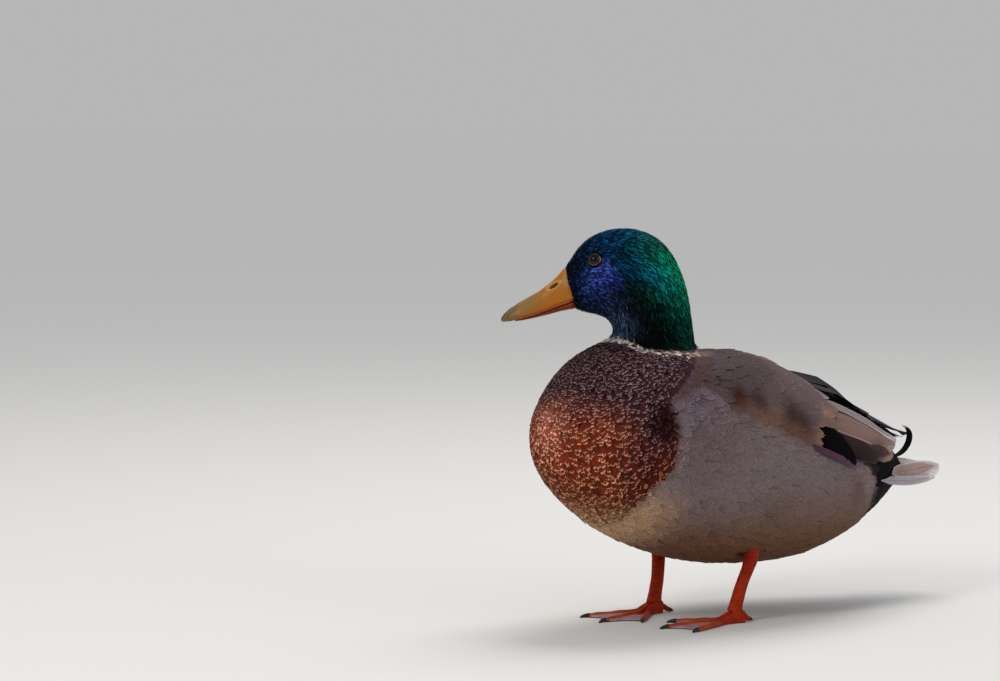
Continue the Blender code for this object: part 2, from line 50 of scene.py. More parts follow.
LAMPS_AIM = Vector((0.0, 0.0, 0.13))         # the middle of the body


def linear(colour):
    """A paint-chart colour such as "a87b4f" as the linear numbers that a shader takes."""
    parts = np.array([int(colour[i:i + 2], 16) for i in (0, 2, 4)]) / 255
    return np.where(parts <= 0.04045, parts / 12.92, ((parts + 0.055) / 1.055) ** 2.4)


def finish(name, roughness, **sockets):
    """A new material: its node tree and its shader, with plain values set on the shader."""
    made = bpy.data.materials.new(name)
    made.use_nodes = True
    shader = made.node_tree.nodes["Principled BSDF"]
    shader.inputs["Roughness"].default_value = roughness
    for socket, value in sockets.items():
        shader.inputs[socket.replace("_", " ")].default_value = value
    return made, made.node_tree, shader


def node(tree, kind, *values, **settings):
    """A new node with its settings, its inputs set or linked in order; None leaves one alone."""
    made = tree.nodes.new("ShaderNode" + kind)
    for setting, value in settings.items():
        setattr(made, setting, value)
    for socket, value in zip(made.inputs, values):
        if isinstance(value, bpy.types.NodeSocket):
            tree.links.new(value, socket)
        elif value is not None:
            socket.default_value = value
    return made


def noise(tree, scale, detail, *rest, at=None):
    """Mottling from 0 to 1, laid over the places `at`, or over the piece itself."""
    return node(tree, "TexNoise", at, None, scale, detail, *rest).outputs[0]


def mixed(tree, share, first, second, blend="MIX"):
    """Two colours mixed; each is a socket or three numbers."""
    made = tree.nodes.new("ShaderNodeMix")
    made.data_type, made.blend_type = "RGBA", blend
    for socket, value in ((made.inputs[0], share), (made.inputs[6], first),
                          (made.inputs[7], second)):
        if isinstance(value, bpy.types.NodeSocket):
            tree.links.new(value, socket)
        else:
            socket.default_value = value if np.isscalar(value) else (*value, 1.0)
    return made.outputs[2]


def solid(name, points, faces, material):
    """A smooth mesh object from arrays of points and faces."""
    mesh = bpy.data.meshes.new(name)
    faces = np.asarray(faces, np.int32)
    mesh.vertices.add(len(points))
    mesh.vertices.foreach_set("co", np.asarray(points, np.float32).ravel())
    mesh.loops.add(faces.size)
    mesh.loops.foreach_set("vertex_index", faces.ravel())
    mesh.polygons.add(len(faces))
    mesh.polygons.foreach_set("loop_start", np.arange(len(faces), dtype=np.int32)
                              * faces.shape[1])
    mesh.polygons.foreach_set("use_smooth", np.ones(len(faces), bool))
    mesh.update(calc_edges=True)
    mesh.materials.append(material)
    made = bpy.data.objects.new(name, mesh)
    bpy.context.scene.collection.objects.link(made)
    return made


floor_paint, tree, shader = finish("floor_paint", 0.75, Specular_IOR_Level=0.0)
tree.links.new(mixed(tree, noise(tree, 3.0, 6.0), linear("dedede"), linear("e5e5e5")),
               shader.inputs["Base Color"])
floor = solid("floor", [(-90, -90, 0), (90, -90, 0), (90, 90, 0), (-90, 90, 0)], [(0, 1, 2, 3)],
              floor_paint)

world = bpy.data.worlds.new("room")
world.use_nodes = True
backdrop = world.node_tree.nodes["Background"]
backdrop.inputs["Color"].default_value = (1.0, 1.0, 1.0, 1.0)
backdrop.inputs["Strength"].default_value = 0.47
bpy.context.scene.world = world
bpy.context.scene.view_settings.view_transform = "Standard"
for label, kind, place, size, power, tint in (    # size is metres, or the sun's angle
        ("ceiling", "SUN", (-0.9, -0.5, 2.2), 0.7, 0.523, (1.0, 1.0, 1.0)),
        ("lamp_over", "AREA", (-0.7, -0.4, 1.9), 1.1, 15.0, (1.0, 0.96, 0.9)),
        ("lamp_front", "AREA", (1.75, 0.4, 1.35), 0.4, 12.5, (1.0, 0.94, 0.86)),
        ("lamp_side", "AREA", (-0.5, 2.2, 1.0), 1.2, 6.0, (0.93, 0.95, 1.0))):
    lamp = bpy.data.lights.new(label, kind)
    lamp.energy, lamp.color = power, tint
    if kind == "SUN":
        lamp.angle = size
    else:
        lamp.size = size
    holder = bpy.data.objects.new(label, lamp)
    holder.location = place
    holder.rotation_euler = (LAMPS_AIM - Vector(place)).to_track_quat("-Z", "Y").to_euler()
    bpy.context.scene.collection.objects.link(holder)

camera = bpy.data.objects.new("camera", bpy.data.cameras.new("camera"))
camera.data.lens, camera.data.sensor_width = LENS, 36.0
camera.data.clip_start, camera.data.clip_end = 0.05, 60.0
towards = Vector((math.sin(CAMERA_BEARING), math.cos(CAMERA_BEARING), 0.0))
camera.location = STAND + towards * CAMERA_AWAY + Vector((0, 0, CAMERA_UP))
heading = math.atan2(-towards.y, -towards.x) + CAMERA_ASIDE
look = Vector((math.cos(heading) * math.cos(CAMERA_DOWN),
               math.sin(heading) * math.cos(CAMERA_DOWN), -math.sin(CAMERA_DOWN)))
aim = look.to_track_quat("-Z", "Y") @ Quaternion((0, 0, 1), CAMERA_ROLL)
camera.rotation_euler = aim.to_euler()
bpy.context.scene.collection.objects.link(camera)
bpy.context.scene.camera = camera


# ---- The skin --------------------------------------------------------------------------------
# One tanned skin drawn over the whole manikin: head, neck, breast, trunk, rump and the backs of the
# folded wings. It is a smooth cast of those solids, taken in by the depth of the feathers that
# cover it, and it carries the same markings, painted highlights and painted shade as they do.
MM = 0.001                                   # sizes are millimetres, the room is in metres
MIDLINE = 0.69                               # how far left the drake's middle plane stands
HEAD_TURN = math.radians(-40.0)
NECK_AXIS = np.array([89.83, MIDLINE])       # the upright line that the head turns about
FLESH = ["head", "neck", "collar", "breast", "trunk", "rump", "wing_left", "wing_right"]
SKIN_CELL = 1.9 * MM


def head_place(points):
    """Millimetres ahead, left and up in the head's own frame, from metres in the room."""
    x, y = points[:, 0] / MM - NECK_AXIS[0], points[:, 1] / MM - NECK_AXIS[1]
    c, s = math.cos(HEAD_TURN), math.sin(HEAD_TURN)
    return np.column_stack([c * x + s * y, c * y - s * x, points[:, 2] / MM])


def head_vector(vectors):
    """Directions in the head's frame as directions in the room."""
    vectors = np.atleast_2d(np.asarray(vectors, float))
    c, s = math.cos(HEAD_TURN), math.sin(HEAD_TURN)
    return np.column_stack([c * vectors[:, 0] - s * vectors[:, 1],
                            s * vectors[:, 0] + c * vectors[:, 1], vectors[:, 2]])


def room_place(points):
    """Head-frame millimetres as metres in the room."""
    placed = head_vector(points)
    placed[:, :2] += NECK_AXIS
    return placed * MM


def unit(vectors):
    return vectors / np.maximum(np.linalg.norm(vectors, axis=-1, keepdims=True), 1e-12)


def eased(value, low, high):
    """0 up to `low` and 1 from `high` on, with a soft rise between."""
    t = np.clip((value - low) / (high - low), 0, 1)
    return t * t * (3 - 2 * t)


def mesh_arrays(mesh):
    """A mesh's points, and its faces as triangles."""
    points = np.empty(len(mesh.vertices) * 3, np.float32)
    mesh.vertices.foreach_get("co", points)
    mesh.calc_loop_triangles()
    faces = np.empty(len(mesh.loop_triangles) * 3, np.int32)
    mesh.loop_triangles.foreach_get("vertices", faces)
    return points.reshape(-1, 3).astype(float), faces.reshape(-1, 3)


def cast(names, cell, grow=0.4 * MM):
    """One closed mould taken off several solids together."""
    points, faces, count = [], [], 0
    for name in names:
        found, shape = mesh_arrays(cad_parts[name].data)
        _, first, same = np.unique(np.round(found / 1e-6), axis=0, return_index=True,
                                   return_inverse=True)
        found, shape = found[first], same.reshape(-1)[shape]
        points.append(found + grow * corner_normals(found, shape))
        faces.append(shape + count)
        count += len(found)
    rough = solid("mould", np.concatenate(points), np.concatenate(faces), floor_paint)
    remesh = rough.modifiers.new("mould", "REMESH")
    remesh.mode, remesh.voxel_size = "VOXEL", cell
    found, shape = mesh_arrays(rough.evaluated_get(
        bpy.context.evaluated_depsgraph_get()).to_mesh())
    mesh = rough.data
    bpy.data.objects.remove(rough)
    bpy.data.meshes.remove(mesh)
    group = np.arange(len(found))            # keep the one outer shell
    while True:
        lowest = group.copy()
        for i, j in ((0, 1), (1, 2), (2, 0)):
            np.minimum.at(lowest, shape[:, i], group[shape[:, j]])
            np.minimum.at(lowest, shape[:, j], group[shape[:, i]])
        lowest = lowest[lowest]
        if (lowest == group).all():
            break
        group = lowest
    kept = group == np.bincount(group).argmax()
    shape = shape[kept[shape[:, 0]]]
    return found[kept], (np.cumsum(kept) - 1)[shape]


def corner_normals(points, faces):
    a, b, c = (points[faces[:, i]] for i in range(3))
    across = np.cross(b - a, c - a)
    total = np.column_stack([sum(np.bincount(faces[:, i], across[:, k], len(points))
                                 for i in range(3)) for k in range(3)])
    return unit(total)


def relaxed(values, faces, rounds, pull=0.5):
    """Values at the corners of a mesh, each drawn towards the mean of its neighbours."""
    start = np.concatenate([faces[:, [0, 1, 2]].ravel(), faces[:, [1, 2, 0]].ravel()])
    end = np.concatenate([faces[:, [1, 2, 0]].ravel(), faces[:, [0, 1, 2]].ravel()])
    count = np.bincount(start, minlength=len(values))[:, None]
    for _ in range(rounds):
        mean = np.column_stack([np.bincount(start, values[end, k], len(values))
                                for k in range(values.shape[1])]) / count
        values = values + pull * (mean - values)
    return values


# The lie of the coat: where, and which way the feathers point there. Head first, in its frame.
HEAD_LIE = [
    ((70, 0, 250), (-0.8, 0, 0.55)), ((60, 12, 240), (-1, 0.05, 0.0)),
    ((66, 8, 228), (-1, 0.05, -0.15)), ((45, 0, 281), (-1, 0, 0)), ((20, 0, 275), (-1, 0, -0.3)),
    ((-2, 0, 258), (-0.6, 0, -0.8)), ((-15, 0, 235), (-0.25, 0, -1)),
    ((-25, 0, 215), (-0.3, 0, -1)), ((42, 20, 256), (-1, 0, -0.02)),
    ((32, 22, 240), (-1, 0, -0.4)), ((12, 24, 248), (-0.8, 0, -0.6)),
    ((5, 27, 225), (-0.3, 0, -0.95)), ((60, 0, 217), (-1, 0, -0.1)),
    ((35, 0, 213), (-0.8, 0, -0.5)), ((24, 0, 205), (0.1, 0, -1)), ((0, 29, 208), (-0.2, 0, -1)),
]
BODY_LIE = [
    ((52, 0, 196), (-1, 0, -0.15)), ((20, 0, 192), (-1, 0, 0)), ((-20, 0, 176), (-1, 0, -0.35)),
    ((-70, 0, 150), (-1, 0, -0.4)), ((-120, 0, 120), (-1, 0, -0.5)),
    ((145, 0, 192), (0.6, 0, -0.8)), ((178, 0, 165), (0.15, 0, -1)),
    ((186, 0, 130), (-0.15, 0, -1)), ((168, 0, 95), (-0.7, 0, -0.7)),
    ((120, 0, 63), (-1, 0, -0.4)), ((50, 0, 40), (-1, 0, -0.05)), ((-20, 0, 37), (-1, 0, 0.1)),
    ((-80, 0, 55), (-1, 0, 0.4)), ((-130, 0, 80), (-1, 0, 0.5)),
    ((112, 42, 191), (-0.1, 0.4, -0.9)), ((80, 42, 191), (-0.9, 0.35, -0.35)),
    ((135, 48, 172), (-0.35, 0.1, -0.9)), ((155, 42, 135), (-0.4, 0.1, -0.9)),
    ((122, 62, 150), (-0.85, 0, -0.5)), ((122, 61, 115), (-0.85, 0, -0.45)),
    ((142, 40, 90), (-0.8, 0, -0.5)), ((80, 68, 120), (-1, 0, -0.15)),
    ((20, 70, 100), (-1, 0, 0.0)), ((-40, 62, 95), (-1, 0, 0.05)), ((-75, 52, 95), (-1, 0, 0.1)),
    ((60, 62, 62), (-1, 0, -0.08)), ((-20, 58, 56), (-1, 0, 0.15)), ((-80, 42, 75), (-1, 0, 0.3)),
    ((85, 48, 184), (-1, 0.1, -0.25)), ((60, 56, 166), (-1, 0, -0.25)),
    ((40, 45, 181), (-1, 0, -0.2)), ((0, 50, 165), (-1, 0, -0.4)), ((-20, 60, 140), (-1, 0, -0.4)),
    ((76, 55, 172), (-1, 0, -0.5)), ((58, 62, 152), (-1, 0, -0.42)), ((20, 64, 138), (-1, 0, -0.4)),
    ((-20, 64, 120), (-1, 0, -0.38)), ((-45, 61, 108), (-1, 0, -0.25)),
    ((-30, 35, 165), (-1, 0, -0.42)), ((-80, 30, 140), (-1, 0, -0.5)),
    ((-110, 20, 125), (-1, 0, -0.5)),
]


def lie_of_coat(points, normals, faces):
    """The way the coat lies at each point, drawn from the tables and kept along the surface."""
    places, ways = [], []
    for place, way in HEAD_LIE:
        for side in (1, -1) if place[1] else (1,):
            places.append(room_place([(place[0], side * place[1], place[2])])[0])
            ways.append(head_vector((way[0], side * way[1], way[2]))[0])
    for place, way in BODY_LIE:
        for side in (1, -1) if place[1] else (1,):
            places.append(np.array([place[0], side * place[1], place[2]]) * MM)
            ways.append(np.array([way[0], side * way[1], way[2]], float))
    places, ways = np.array(places), unit(np.array(ways))
    apart = ((points[:, None] - places[None]) ** 2).sum(-1)
    share = 1 / (apart + (7 * MM) ** 2) ** 2.2
    ways = (share / share.sum(1, keepdims=True)) @ ways
    for _ in range(4):
        ways = relaxed(ways, faces, 4)
        ways = unit(ways - normals * (ways * normals).sum(1, keepdims=True))
    return ways


class Hide:
    """A surface that feathers are laid on: its nearest points, smooth normals and lie."""

    def __init__(self, points, faces):
        self.points, self.faces = points, faces
        self.tree = BVHTree.FromPolygons(points.tolist(), faces.tolist())
        self.normals = unit(relaxed(corner_normals(points, faces), faces, 4))
        self.lie = lie_of_coat(points, self.normals, faces)
        a, b, c = (points[faces[:, i]] for i in range(3))
        self.areas = np.linalg.norm(np.cross(b - a, c - a), axis=1) / 2
        self.middles = (a + b + c) / 3
        self.ways = unit(sum(self.lie[faces[:, i]] for i in range(3)))

    def meet(self, points):
        """The nearest point of the hide to each point, with the normal and the lie there."""
        flat = points.reshape(-1, 3)
        place, face = np.empty_like(flat), np.empty(len(flat), int)
        for i, point in enumerate(flat.tolist()):
            hit = self.tree.find_nearest(point)
            place[i], face[i] = hit[0], hit[2]
        a, b, c = (self.points[self.faces[face, i]] for i in range(3))
        whole = np.cross(b - a, c - a)
        size = (whole**2).sum(1)
        share = np.column_stack([
            (np.cross(c - b, place - b) * whole).sum(1) / size,
            (np.cross(a - c, place - c) * whole).sum(1) / size])
        share = np.column_stack([share, 1 - share.sum(1)])[:, :, None]
        normal = unit((self.normals[self.faces[face]] * share).sum(1))
        lie = unit((self.lie[self.faces[face]] * share).sum(1))
        return (place.reshape(points.shape), normal.reshape(points.shape),
                lie.reshape(points.shape))


def trees_of(names):
    """Search trees of the faces of some solids."""
    return [BVHTree.FromPolygons(*(a.tolist() for a in mesh_arrays(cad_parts[n].data)))
            for n in names]


def nearness(names):
    """A function from points to their distances from some solids, in mm."""
    trees = trees_of(names)

    def distance(points, most=20.0):
        found = np.full(len(points), most)
        for tree in trees:
            for i, point in enumerate(points.tolist()):
                hit = tree.find_nearest(point, most * MM)
                if hit[0] is not None:
                    found[i] = min(found[i], hit[3] / MM)
        return found

    return distance


from_bill = nearness(["bill_upper", "bill_lower"])


def depth_of_coat(points):
    """How deep the feathers lie over the skin, in metres."""
    head = eased(points[:, 2] / MM, 192, 206)
    belly = eased(-points[:, 2] / MM, -70, -45)
    depth = 2.4 - 1.2 * head + 0.3 * belly
    face = head > 0.99
    depth[face] *= 0.1 + 0.9 * eased(from_bill(points[face], 8.0), 0.5, 7)
    return (depth - 0.1) * MM


def skin_over(names, cell, rounds):
    """A smooth cast of the solids, taken in by the depth of the coat."""
    points, faces = cast(names, cell)
    points = relaxed(points, faces, rounds)
    normals = unit(relaxed(corner_normals(points, faces), faces, 3))
    points = points - normals * (depth_of_coat(points) + 0.3 * MM)[:, None]
    return relaxed(points, faces, 2), faces


hide = Hide(*skin_over(FLESH, SKIN_CELL, 5))

# The drake's markings, with painted light and shade among them. Each is a colour round a place on
# the head, with the patch's size: the head's green with its iridescent sheen painted in by place,
# blue and violet where it catches the light and near black where it does not; then the colours of
# the body, from the breast to under the tail.
HEAD_COLOURS_AND_SHEEN = [            # ahead, outwards and up in the head's frame, size, colour
    ((62, 6, 262), 11, "111622"), ((62, 8, 246), 10, "040508"), ((47, 12, 272), 12, "052440"),
    ((24, 10, 277), 14, "013860"), ((-2, 10, 267), 11, "04383c"), ((21, 21, 262), 9, "001630"),
    ((6, 17, 266), 9, "013038"), ((-7, 18, 257), 12, "017a4e"), ((-17, 15, 241), 11, "016e4c"),
    ((13, 23, 255), 5, "03346c"), ((0, 22, 249), 5.5, "01508e"), ((-10, 20, 241), 6, "016486"),
    ((36, 22, 248), 6, "4850b8"), ((43, 19, 244), 7, "203a78"), ((28, 23, 244), 5, "20307a"),
    ((14, 25, 243), 10.5, "000106"), ((4, 26, 236), 12, "000206"), ((-1, 27, 226), 12, "000305"),
    ((38, 19, 235), 8, "162650"), ((26, 19, 221), 9, "202c40"), ((20, 20, 209), 7, "2f4258"),
    ((2, 28, 209), 13, "010203"), ((-22, 14, 227), 10, "014c3a"), ((-24, 17, 209), 9, "01221e"),
    ((-12, 22, 227), 6, "011c1c"), ((49, 18, 258), 6, "020305"), ((57, 12, 229), 8, "0d1119"),
    ((70, 0, 230), 9, "0d1018"),
]
COLLAR_FRONT, COLLAR_SIDE, COLLAR_DEEP = -3.5, 9.0, 6.0    # how far down it starts; its depth
COLLAR_TURN = math.radians(-18.0)            # the head's turn draws its front to the right
BREAST_EDGE = [             # up, and how far ahead of it the brown of the breast begins
    (60, 152), (74, 143), (84, 141), (95, 137), (106, 131), (116, 122), (130, 117), (150, 118),
    (164, 122), (175, 106), (185, 93), (200, 76),
]
WING_EDGE = [               # ahead, and how far up the flank's upper edge runs over the wing
    (-140, 102), (-80, 105), (-60, 105), (-44, 108), (-25, 114), (-8, 122), (15, 134), (29, 139),
    (44, 145), (58, 151), (70, 160), (82, 167), (92, 171), (100, 169.5), (110, 166.5), (122, 161),
    (135, 156),
]
WING_RIM_HIGHLIGHT = [              # the painted highlight along the upper edge of the shoulder feathers
    (10, 27, 186), (-12, 27, 178), (-33, 33, 163), (-41, 41, 152.5), (-58, 37.6, 147.6),
    (-86, 32, 137), (-105, 25, 129.5),
]
FLANK_END = [               # up, and how far back the flank reaches
    (46, -70), (76, -78), (87, -77), (99, -74), (108, -66), (125, -60),
]
# Patches on the shoulders and flank: tan fringes that are the feathers' own, and dark browns that
# are partly the feathers' own brown and partly painted shade along the lower edge of the shoulder
# feathers.
SHOULDER_PATCHES_AND_SHADE = [                 # a place on the left side, size, colour, strength
    ((62, 62, 165), 5.5, "2a0f07", 0.95), ((64, 63, 160), 4, "4a2314", 0.8),
    ((45, 62, 160), 7, "32201b", 0.85), ((14, 63, 147.5), 9, "2c1b16", 0.85),
    ((2, 63, 140.5), 6, "33211b", 0.8), ((28, 63.5, 151.5), 3.5, "7a5c48", 0.5),
    ((61, 64, 157), 3, "5e3a28", 0.7), ((52, 65, 152), 3.5, "75513c", 0.8),
    ((41, 65, 147), 4, "7a5540", 0.8), ((29, 65, 142.5), 4, "7d5842", 0.8),
    ((19, 65, 139), 4, "6d4a38", 0.8), ((9, 64.5, 134.7), 4, "75503b", 0.8),
    ((-1, 64, 130), 4, "6a4534", 0.8), ((-11, 64, 125.5), 4, "75503b", 0.8),
    ((-41, 47, 147), 5, "8c6b5a", 0.7), ((-28, 54, 145), 5, "96705a", 0.7),
    ((-18, 61, 135), 4.5, "93684f", 0.7), ((-15, 63, 128), 4, "a27a62", 0.7),
    ((86, 62, 155), 4, "6b4736", 0.4), ((84, 50, 186), 5, "5e3c30", 0.55),
    ((90, 57, 178), 5, "553b34", 0.6), ((112, 58, 173.5), 9, "4e3a3b", 0.85),
    ((-54, 58, 88), 8, "5f4538", 0.6), ((-67, 56, 92), 5, "8c7b7c", 0.6),
    ((100, 66, 105), 10, "6b5a5c", 0.35), ((30, 69, 84), 12, "5e4a40", 0.4),
]


def painted(base, count, coats):
    """A base colour for each point, with further colours laid over it by their shares."""
    tone = np.tile(linear(base), (count, 1))
    for where, colour in coats:
        w = np.clip(where, 0, 1)[:, None]
        tone = tone * (1 - w) + linear(colour) * w
    return tone


def collar_place(points):
    """How far down past the green each point lies, in millimetres: 0 to COLLAR_DEEP is collar."""
    x, y, z = (points / MM - [*NECK_AXIS, 0]).T
    round_neck = np.arctan2(y, x) - COLLAR_TURN
    start = COLLAR_FRONT + (COLLAR_SIDE - COLLAR_FRONT) * eased(1 - np.cos(round_neck), 0, 0.6)
    down = 0.8 * (np.hypot(x, y) - 31) + (200 - z)
    return np.where(z > 212, -20.0, down - start)


def markings_and_light(points):
    """For each point of the coat: its zone, the colour of its feathers and of their edges, painted
    light and shade included.
    """
    x, y, z = points.T / MM
    head = head_place(points)
    head[:, 1] = np.abs(head[:, 1])
    zone = np.full(len(points), "flank", "U6")
    tone = painted("796a6c", len(points), ())
    rim = tone * 1.1

    def paint(where, colour, edge, name=None, share=1.0):
        """Paints colour and edge where `where` (0 to 1) says."""
        w = np.clip(where * share, 0, 1)[:, None]
        tone[:] = tone * (1 - w) + linear(colour) * w
        rim[:] = rim * (1 - w) + linear(edge) * w
        if name:
            zone[w[:, 0] > 0.5] = name

    side = np.abs(y)
    # Flank and belly: a painted lavender highlight above by the breast, painted shade below where
    # the belly darkens to taupe and brown, whitish at the rear.
    paint(eased(z, 75, 150) * eased(x, 20, 90), "675657", "786769")
    # Painted highlight: lavender light along the top of the flank by the breast, with a lighter
    # spot of it.
    paint(eased(z, 130, 160) * eased(x, 60, 90), "6c5d68", "83747f")
    paint(np.exp(-((x - 121) ** 2 + (z - 140) ** 2 / 6) / 60), "8b7e8e", "a297a5")
    # Painted shade: the belly darkens to taupe and brown underneath.
    paint(eased(-z, -105, -55), "6b4f3c", "775b46")
    paint(eased(-z, -78, -42), "68432e", "74503a")
    paint(eased(x, 95, 135) * eased(-z, -110, -80), "b38c6b", "c9a886")
    paint(eased(-x, 35, 66) * eased(z, 70, 100), "7b6765", "8a7674", share=0.8)
    # Breast.
    edge = np.interp(z, *zip(*BREAST_EDGE))
    paint(eased(-np.abs(x - edge), -5, -1) * eased(-z, -165, -150), "66483c", "8a6a56", share=0.7)
    breast = eased(x - edge, -2.0, 2.0)
    paint(breast, "301a20", "94787e", "breast")
    front = eased(x, 132, 168)
    paint(breast * front * eased(-z, -172, -138), "6e2710", "d89c7c")
    paint(breast * (1 - front) * eased(-z, -150, -118), "3c0f08", "9a5c42")
    # Painted highlight: a warm pool of light on the front of the breast.
    breast_highlight_falloff = ((x - 183) ** 2 + (y + 1) ** 2 + (z - 146) ** 2) / (2 * 11**2)
    paint(breast * np.exp(-breast_highlight_falloff), "a4563c", "ffd9cc", share=0.9)
    paint(breast * front * eased(-z, -128, -100), "5e2210", "c48a62")
    paint(breast * eased(-np.hypot(x - 127, z - 148), -19, -7), "1a0205", "54231f")
    paint(breast * eased(-z, -100, -72), "8c6242", "d8bb92")
    # Mantle, shoulders and wing.
    mantle = (1 - breast) * eased(z - np.interp(x, *zip(*WING_EDGE)), -0.6, 0.6)
    paint(mantle, "5f4e50", "6e5e60", "mantle")
    paint(mantle * eased(z, 160, 180) * eased(x, -5, 30), "493c3f", "5a4b4e")
    # The patches; the darkest of them are partly painted shade.
    for (a, b, c), size, colour, strength in SHOULDER_PATCHES_AND_SHADE:
        near = ((x - a) ** 2 + (side - b) ** 2 + (z - c) ** 2) / (2 * size**2)
        paint(np.exp(-near) * (1 - breast), colour, colour, share=strength)
    # Painted highlight: the light caught along the upper edge of the shoulder feathers.
    light = np.array(WING_RIM_HIGHLIGHT, float)
    along = np.linspace(0, len(light) - 1, 60)
    light = np.column_stack([np.interp(along, range(len(light)), light[:, k]) for k in range(3)])
    body = np.column_stack([x, side, z])
    from_rim_highlight = np.full(len(points), 99.0)
    high = z > 110
    from_rim_highlight[high] = np.sqrt(((body[high, None] - light[None]) ** 2).sum(-1).min(1))
    from_rim_highlight += 2.2 * eased(x, -42, -20)
    paint(mantle * eased(-from_rim_highlight, -5, -1), "958a90", "b4abb2", share=0.8)
    # The brown-black back between the wings, the rump, and the coverts above and below the tail.
    middle = np.interp(x, [-140, -116, -91, -66, -42, -33, -12, 5, 25],
                       [22, 24, 30, 36, 38, 31, 17, 6, 0])
    paint(mantle * eased(middle - side, -1.5, 1.5) * eased(-x, -25, 0), "241b19", "332825",
          "back")
    end = np.interp(z, *zip(*FLANK_END))
    rear = eased(end - x, -1.0, 1.0)
    rear = rear * (1 - mantle * (zone != "back") * (x > -72))
    paint(rear * (side < 60), "070609", "0d0c10", "vent")
    paint(eased(-x, 72, 84) * eased(z, 104, 112), "070608", "0e0d11", "vent")
    # Collar: whole in front, broken by brown at the sides. Then the green of the head and neck.
    down = collar_place(points)
    about = np.arctan2(y - NECK_AXIS[1], x - NECK_AXIS[0]) - COLLAR_TURN
    tuft = 0.5 + 0.5 * np.sin(41 * about + 2.2 * np.sin(7 * about) + 0.9 * z)
    whole = np.maximum(eased(-np.abs(about), -1.25, -0.75), eased(tuft, 0.55, 0.8) * 0.75
                       * (1 - 0.7 * eased(np.abs(about), 1.9, 2.4)))
    deep = COLLAR_DEEP + 3.5 * eased(about, 0.7, 1.2)
    collar = eased(down, -0.6, 0.6) * eased(deep - down, -0.8, 0.8) * eased(z, 180, 184)
    paint(collar, "5a4038", "7b6259", "collar")
    paint(collar * whole, "c9c2bb", "e4ded8")
    # The green of the head and neck, its iridescent sheen painted in by place.
    green = eased(-down, -0.6, 0.6) * eased(z, 188, 192)
    apart = np.stack([((head - np.array(place)) ** 2).sum(1) / (2 * size**2)
                      for place, size, _ in HEAD_COLOURS_AND_SHEEN])
    share = np.exp(-(apart - apart.min(0)))
    share /= share.sum(0)
    green_and_sheen = share.T @ np.array([linear(colour) for _, _, colour in HEAD_COLOURS_AND_SHEEN])
    w = green[:, None]
    tone[:] = tone * (1 - w) + green_and_sheen * w
    rim[:] = rim * (1 - w) + green_and_sheen * 1.5 * w
    zone[green > 0.5] = "green"
    return zone, tone, rim


def give(mesh, name, values, kind="FLOAT_COLOR"):
    """Puts one value for each point of the mesh in a named attribute."""
    if kind == "FLOAT_COLOR":
        values = np.column_stack([values, np.ones(len(values))])
    made = mesh.attributes.new(name, kind, "POINT")
    made.data.foreach_set("color" if kind == "FLOAT_COLOR" else "vector",
                          values.astype(np.float32).ravel())


def carried(tree, name):
    """The colour that a piece's points carry under a name."""
    return node(tree, "Attribute", attribute_name=name).outputs[0]


def ramp(tree, value, low, high, to_low=0.0, to_high=1.0):
    """`value` eased from low..high to to_low..to_high."""
    made = node(tree, "MapRange", value, low, high, to_low, to_high)
    made.interpolation_type = "SMOOTHSTEP"
    return made.outputs[0]


def bumped(tree, shader, height, strength, distance):
    """Raises the surface of a finish by `height`, at most `distance` (metres)."""
    made = node(tree, "Bump", strength, distance)
    tree.links.new(height, made.inputs["Height"])
    tree.links.new(made.outputs[0], shader.inputs["Normal"])


skin_look, tree, shader = finish("feathered_skin", 0.9, Specular_IOR_Level=0.03)
down_tufts = noise(tree, 900.0, 3.0)
fleck = ramp(tree, down_tufts, 0.3, 0.7, 0.55, 0.95)
tree.links.new(mixed(tree, 1.0, carried(tree, "tone"), fleck, "MULTIPLY"),
               shader.inputs["Base Color"])
bumped(tree, shader, down_tufts, 0.5, 0.0004)
skin = solid("skin", hide.points, hide.faces, skin_look)
give(skin.data, "tone", markings_and_light(hide.points)[1] * 0.8)
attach(skin, "root")
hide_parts(*FLESH)


# ---- The small feathers ----------------------------------------------------------------------
# Every feather is a thin vane with a shaft along it, set in the skin by its root and lying back
# over the next ones. They are short and narrow on the head, round on the breast, long and silky
# on the flanks, and firm over the rump. All of them follow the lie of the coat.

# The line down the middle of the drake that the skin is unwrapped about, bill to tail, and the
# way its upper side faces there.
SPINE = [(160, -58, 232), (140, -42, 250), (115, -20, 255), (95, -3, 245), (90, 0, 215),
         (92, 0, 185), (80, 0, 150), (45, 0, 118), (0, 0, 108), (-50, 0, 105), (-100, 0, 100),
         (-150, 0, 97), (-190, 0, 94)]
DORSAL = [(0.2, 0, 1), (0, 0, 1), (-0.3, 0.2, 1), (-0.8, 0.2, 0.6), (-1, 0, 0.1), (-1, 0, 0.1),
          (-0.8, 0, 0.6), (-0.3, 0, 1), (0, 0, 1), (0.1, 0, 1), (0.2, 0, 1), (0.3, 0, 1),
          (0.3, 0, 1)]


def unwrapped(points):
    """The skin cut along the belly and laid flat: how far back along the body, and how far
    round it, both 0 to 1."""
    at = np.linspace(0, len(SPINE) - 1, 260)
    line = np.column_stack([np.interp(at, range(len(SPINE)), [p[k] for p in SPINE])
                            for k in range(3)]) * MM
    top = np.column_stack([np.interp(at, range(len(SPINE)), [p[k] for p in DORSAL])
                           for k in range(3)])
    along = unit(np.gradient(line, axis=0))
    top = unit(top - along * (top * along).sum(1, keepdims=True))
    left = np.cross(along, top)
    length = np.concatenate([[0], np.cumsum(np.linalg.norm(np.diff(line, axis=0), axis=1))])
    near = ((points[:, None] - line[None]) ** 2).sum(-1).argmin(1)
    off = points - line[near]
    back = length[near] + (off * along[near]).sum(1)
    turn = np.arctan2((off * left[near]).sum(1), (off * top[near]).sum(1))
    return np.column_stack([back / length[-1], 0.5 + turn / (2 * math.pi)])


